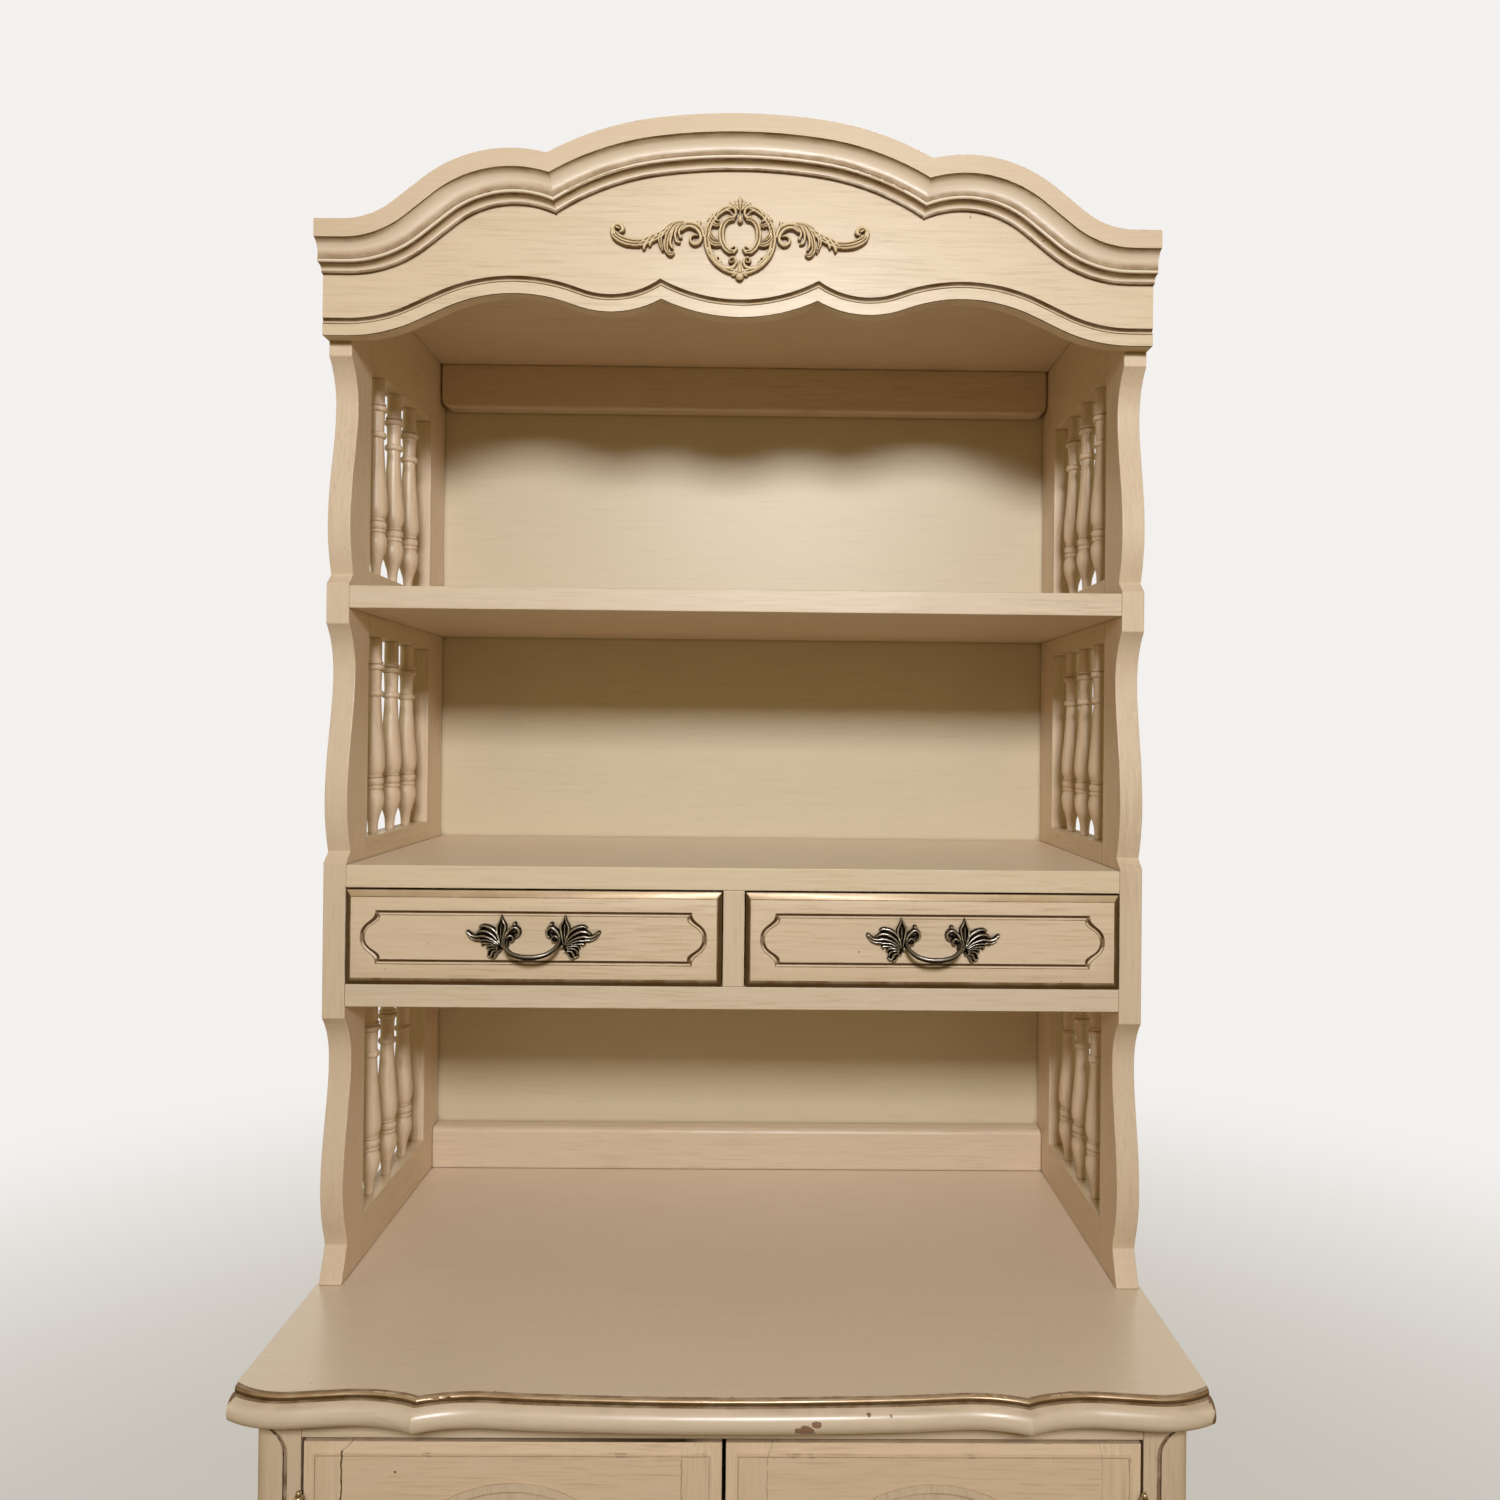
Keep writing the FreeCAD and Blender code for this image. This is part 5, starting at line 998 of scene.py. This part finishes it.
def turned_spindles(node):
    """Spindles as full as the photograph's, in the CAD spindles' places and holes."""
    source = bmesh.new()
    source.from_mesh(welded(node))
    places = []
    for island in islands(source):
        low = [min(vert.co[axis] for vert in island) for axis in range(3)]
        high = [max(vert.co[axis] for vert in island) for axis in range(3)]
        x, y = (low[0] + high[0]) / 2, (low[1] + high[1]) / 2
        places.append((x, y, low[2] + TENON * MM, high[2] - TENON * MM))
    source.free()
    work = bmesh.new()
    turns = [2 * math.pi * k / SPINDLE_SIDES for k in range(SPINDLE_SIDES)]
    for x, y, z_low, z_high in sorted(places, key=lambda place: (round(place[2], 4), round(place[1], 4))):
        rings = []
        for radius, height in spindle_line((z_high - z_low) / MM):
            z = z_low + height * MM
            if radius == 0:
                rings.append([work.verts.new((x, y, z))])
                continue
            radius *= MM
            ring = [(x + radius * math.cos(turn), y + radius * math.sin(turn), z) for turn in turns]
            rings.append([work.verts.new(spot) for spot in ring])
        for lower, upper in zip(rings, rings[1:]):
            for k in range(SPINDLE_SIDES):
                corners = [lower[k % len(lower)], lower[(k + 1) % len(lower)]]
                corners += [upper[(k + 1) % len(upper)], upper[k % len(upper)]]
                work.faces.new(list(dict.fromkeys(corners)))
    return closed(work, bpy.data.meshes.new(node))


def joined(name, meshes):
    """One mesh from several, keeping their numbers."""
    work = bmesh.new()
    for mesh in meshes:
        work.from_mesh(mesh)
    return closed(work, bpy.data.meshes.new(name))


# ------------ camera and light
CAMERA_PLACE = (0.0258, -1.0697, 1.2745)
RIGHT = Vector((0.999902, -0.01006, 0.009699))
VIEW = Vector((0.0101, 0.999941, 0.0041))
LENS = 26.1
SHIFT = (-0.01627, -0.01213)
BACKDROP = (0.9, 0.88, 0.86)
FILL = (0.088, 0.06, 0.002)
GLOSS_FILL = (0.36, 0.28, 0.11)
FLOOR_SEEN = (0.8, 0.78, 0.76)
FLOOR_LIT = (0.42, 0.31, 0.17)
FLOOR_REACH = 30.0
FADE_FROM = 1.0
FADE_TO = 3.4


def make_camera():
    """The camera that took the photograph, as fitted to it."""
    data = bpy.data.cameras.new("camera")
    data.sensor_width = 36.0
    data.lens = LENS
    data.shift_x, data.shift_y = SHIFT
    camera = new_object("camera", data)
    ahead = VIEW.normalized()
    side = (RIGHT - ahead * RIGHT.dot(ahead)).normalized()
    up = side.cross(ahead)
    turn = Matrix((side, up, -ahead)).transposed()
    camera.matrix_world = Matrix.Translation(CAMERA_PLACE) @ turn.to_4x4()
    bpy.context.scene.camera = camera


def area_light(name, place, target, size, watts, colour):
    data = bpy.data.lights.new(name, "AREA")
    data.shape = "RECTANGLE"
    data.size, data.size_y = size
    data.energy = watts
    data.color = colour
    light = new_object(name, data)
    light.location = place
    light.rotation_mode = "QUATERNION"
    light.rotation_quaternion = (Vector(target) - Vector(place)).to_track_quat("-Z", "Y")


def surroundings(tree):
    """The backdrop's colour for what the camera sees, dimmer in gloss, and a low warm fill as light."""
    path = tree.add("ShaderNodeLightPath").outputs
    colour = tree.mix(path["Is Glossy Ray"], FILL, toned(BACKDROP, *GLOSS_FILL))
    colour = tree.mix(path["Is Transmission Ray"], colour, BACKDROP)
    return tree.mix(path["Is Camera Ray"], colour, BACKDROP)


def make_world():
    world = bpy.data.worlds.new("studio")
    bpy.context.scene.world = world
    world.use_nodes = True
    background = world.node_tree.nodes["Background"]
    tree = NodeTree(world.node_tree)
    tree.join(surroundings(tree), background.inputs["Color"])


def make_floor():
    """A pale floor that fades into the backdrop's colour away from the object."""
    mesh = bpy.data.meshes.new("floor")
    corners = [(x * FLOOR_REACH, y * FLOOR_REACH, 0) for x, y in ((-1, -1), (1, -1), (1, 1), (-1, 1))]
    mesh.from_pydata(corners, [], [(0, 1, 2, 3)])
    floor = new_object("floor", mesh)
    s = Shader("floor_pale")
    seen = s.add("ShaderNodeLightPath").outputs["Is Camera Ray"]
    mesh.materials.append(s.finish(s.mix(seen, FLOOR_LIT, FLOOR_SEEN), 0.6))
    glow = s.add("ShaderNodeEmission", {"Color": surroundings(s)})
    fade = s.between(s.vector("LENGTH", s.place), FADE_FROM, FADE_TO, 0.35, 1.0)
    ends = {"Fac": fade, 1: s.surface.outputs["BSDF"], 2: glow.outputs["Emission"]}
    s.join(s.add("ShaderNodeMixShader", ends).outputs["Shader"], s.out.inputs["Surface"])


make_camera()
make_world()
make_floor()
area_light("key", (0.12, -2.15, 2.15), (0, 0, 1.4), (0.5, 0.36), 41.2, (0.975, 0.995, 1))
for side in (-1, 1):
    area_light("side_fill", (3 * side, -0.5, 1.4), (0, 0, 0.9), (1.8, 1.8), 11, (1, 0.92, 0.62))
    area_light("back_fill", (2.2 * side, 2.8, 1.9), (0, 0.2, 0.9), (1.8, 1.8), 17, (1, 0.97, 0.93))

# ------------ finishes
PAINT_X = paint("cream_along_x", "x", (1.02, 1.04, 1.11))
PAINT_Y = paint("cream_along_y", "y", seed=11)
PAINT_Z = paint("cream_along_z", "z", (1.02, 1.01, 1.06), seed=23)
FRIEZE_PAINT = paint("frieze_paint", "x", (1.02, 1.02, 1.02), 0.5, 31, frieze_lines)
CROWN_PAINT = paint("crown_paint", "x", (0.97, 0.95, 0.96), 0.25, 33, crown_lines, gloss=0.03, reach=0.0014)
DRAWER_PAINT = paint("drawer_paint", "x", (1.06, 1.045, 1.075), 0.62, 37, drawer_lines)
# The case top is toned lighter and painted paler where it faces up: painted light on a level face.
CASE_TOP_PAINT = paint("case_top_paint", "x", (1.07, 1.1, 1.12), 0.35, 47, level_lines)
CARVED_PAINT = paint("carved_paint", "x", (1, 0.99, 0.9), 0.2, 43, carved=True, reach=0.0018)
INNER_X = raw_wood("inner_wood_x", "x")
INNER_Y = raw_wood("inner_wood_y", "y", 5)
BACK_BOARD = board_back("back_board", 41)
PEWTER = metal("pewter", (0.62, 0.56, 0.52), (0.018, 0.012, 0.009), 0.25)
BRASS = metal("aged_brass", (0.55, 0.46, 0.31), (0.16, 0.1, 0.05), 0.34, 3)
STEEL = metal("plain_steel", (0.58, 0.57, 0.55), (0.25, 0.24, 0.23), 0.32, 7)
CATCH = plastic("catch_plastic", (0.62, 0.58, 0.5))
TOP_CHIPS = (
    ((0.0627, -0.2384, 0.744), 0.0052, (0.75, 1, 1.1), PRIMER),
    ((0.072, -0.2384, 0.7492), 0.003, (0.8, 1, 1.2), PRIMER),
    ((0.1119, -0.2344, 0.7547), 0.0019, (1, 1, 1), CHIP_BROWN),
    ((0.129, -0.234, 0.7525), 0.0012, (1, 1, 0.6), CHIP_BROWN),
    ((-0.3822, -0.2196, 0.7523), 0.003, (1, 1, 0.8), CHIP_BROWN),
    ((-0.3835, -0.218, 0.756), 0.0036, (1, 0.6, 0.8), CHIP_BROWN),
    ((0.3835, -0.216, 0.756), 0.0042, (1, 0.5, 0.7), CHIP_BROWN),
    ((0.3835, -0.224, 0.745), 0.004, (1, 0.5, 0.7), CHIP_BROWN),
    ((-0.0812, -0.2228, 0.759), 0.0012, (1.4, 1, 0.4), CHIP_BROWN),
)
# The base top is toned lighter and cooler than the other cream: painted light on its level faces.
TOP_TONE = (1.075, 1.1, 1.21)
TOP_PAINT = paint("base_top_paint", "x", TOP_TONE, 0.3, 53, top_lines, TOP_CHIPS, gloss=0.16)
LEFT_STILE = -0.302
DOOR_CRACKS = (
    (((-0.2947, 0.7125), (-0.2985, 0.7085), (LEFT_STILE, 0.706)), 0.0006, 0.55),
    (((LEFT_STILE, 0.706), (LEFT_STILE, 0.61)), 0.0009, 0.95),
    (((-0.0335, 0.7), (-0.0335, 0.63)), 0.0005, 0.45),
    (((0.0385, 0.7125), (0.0345, 0.702), (0.0345, 0.64)), 0.0005, 0.4),
    (((0.299, 0.7125), (0.301, 0.703), (0.301, 0.66)), 0.0005, 0.28),
)
DOOR_CHIPS = (((-0.2596, -0.205, 0.6902), 0.0011, (1, 1, 1), CHIP_BROWN),)
DOOR_TONE = (1.1, 1.07, 1.08)
DOOR_PAINT_Z = paint("door_paint_z", "z", DOOR_TONE, 0.42, 59, None, DOOR_CHIPS, DOOR_CRACKS)
DOOR_PAINT_X = paint("door_paint_x", "x", DOOR_TONE, 0.55, 61, None, DOOR_CHIPS, DOOR_CRACKS)

# ------------ dressing each node
def behind(centre, face_y):
    """Millimetres behind a front face."""
    return (centre.y - face_y) / MM


def in_door_lines(centre, normal):
    """A little glaze on the walls and the floors of the routed lines in a door's frame."""
    wall_or_floor = abs(normal.y) < 0.3 or normal.y < -0.99
    return 0.1 if wall_or_floor and 0.05 < behind(centre, DOOR_FACE) < 0.85 else 0.0


def in_post_groove(centre, normal):
    """Glaze in the groove of a base post, thicker on its walls."""
    down = behind(centre, POST_FACE)
    wall = abs(down - 1.1) < 0.3 and abs(normal.y) < 0.2
    floor = abs(down - 2.2) < 0.05 and normal.y < -0.9
    return 0.95 if wall else 0.5 if floor else 0.0


def is_door_rail(centre):
    """Rails lie between the stiles, and their grain runs along them."""
    return DOOR_INNER + STILE < abs(centre.x) < DOOR_OUTER - STILE


def dress_alike(material, ease, *nodes):
    for node in nodes:
        dress(node, material, ease)


dress_alike(
    PAINT_X, 0.0009, "hutch_shelf", "drawer_case_bottom", "hutch_roof", "hutch_back_top_rail",
    "hutch_back_bottom_rail", "base_top_rail", "base_apron",
)
dress_alike(PAINT_Y, 0.0008, "hutch_side_rails_left", "hutch_side_rails_right")
dress_alike(
    PAINT_Z, 0.0009, "hutch_front_post_left", "hutch_front_post_right", "hutch_rear_post_left",
    "hutch_rear_post_right", "drawer_divider", "base_side_left", "base_side_right",
)
for node in ("base_front_post_left", "base_front_post_right"):
    dress(node, PAINT_Z, glaze=in_post_groove)
dress("base_rear_posts", PAINT_Z)
for node in ("hutch_spindles_left", "hutch_spindles_right"):
    place_piece(node + "_finished", turned_spindles(node), node, PAINT_Z, SPINDLE_ANGLE)

LEAVES = cast_leaves()
BAIL = pull_bail()
for side, sign in (("left", -1), ("right", 1)):
    dress(f"drawer_{side}_front", DRAWER_PAINT)
    dress(f"drawer_{side}_sides", INNER_Y, 0.0004)
    dress(f"drawer_{side}_back", INNER_X, 0.0006)
    dress(f"drawer_{side}_bottom", INNER_X)
    pull = f"drawer_{side}_pull"
    casting = joined("pull_casting", [LEAVES, BAIL])
    casting.transform(Matrix.Translation((sign * PULL_X, DRAWER_FACE, PULL_Z)))
    screws = only_islands(welded(pull), lambda places: max(p.y for p in places) > HUTCH_FRONT)
    place_piece(pull + "_cast", joined("pull", [casting, screws]), pull, PEWTER, CASTING_ANGLE)
    dress(
        f"door_{side}_frame", DOOR_PAINT_Z, 0.0003, glaze=in_door_lines,
        second=DOOR_PAINT_X, is_second=is_door_rail,
    )
    dress(f"door_{side}_panel", PAINT_Z)
    dress(f"door_{side}_moulding", PAINT_Z)
    dress(f"door_{side}_knob", PEWTER)
    dress(f"door_{side}_hinge_leaves", BRASS)
    dress(f"door_{side}_strike", STEEL)

dress("bonnet_frieze", FRIEZE_PAINT)
dress("bonnet_crown", CROWN_PAINT)
CARVING = carved_cartouche()
CARVING.transform(Matrix.Translation((0.0, FRIEZE_FACE, CARTOUCHE_Z)))
place_piece("bonnet_cartouche_carved", CARVING, "bonnet_cartouche", CARVED_PAINT, CARVING_ANGLE)
dress_alike(INNER_X, 0.0, "bonnet_glue_blocks", "drawer_stops")
dress("drawer_case_top", CASE_TOP_PAINT, 0.0009)
dress("base_top", TOP_PAINT, shape=square_ends)
dress_alike(INNER_X, 0.0008, "base_bottom", "base_shelf", "base_back_rails")
dress_alike(BACK_BOARD, 0.0, "hutch_back_panel", "base_back_panel")
dress("hinge_fixed_leaves", BRASS)
dress_alike(STEEL, 0.0, "shelf_pins", "hutch_plates", "foot_glides")
dress("door_catches", CATCH)

bpy.context.scene.view_settings.view_transform = "Standard"
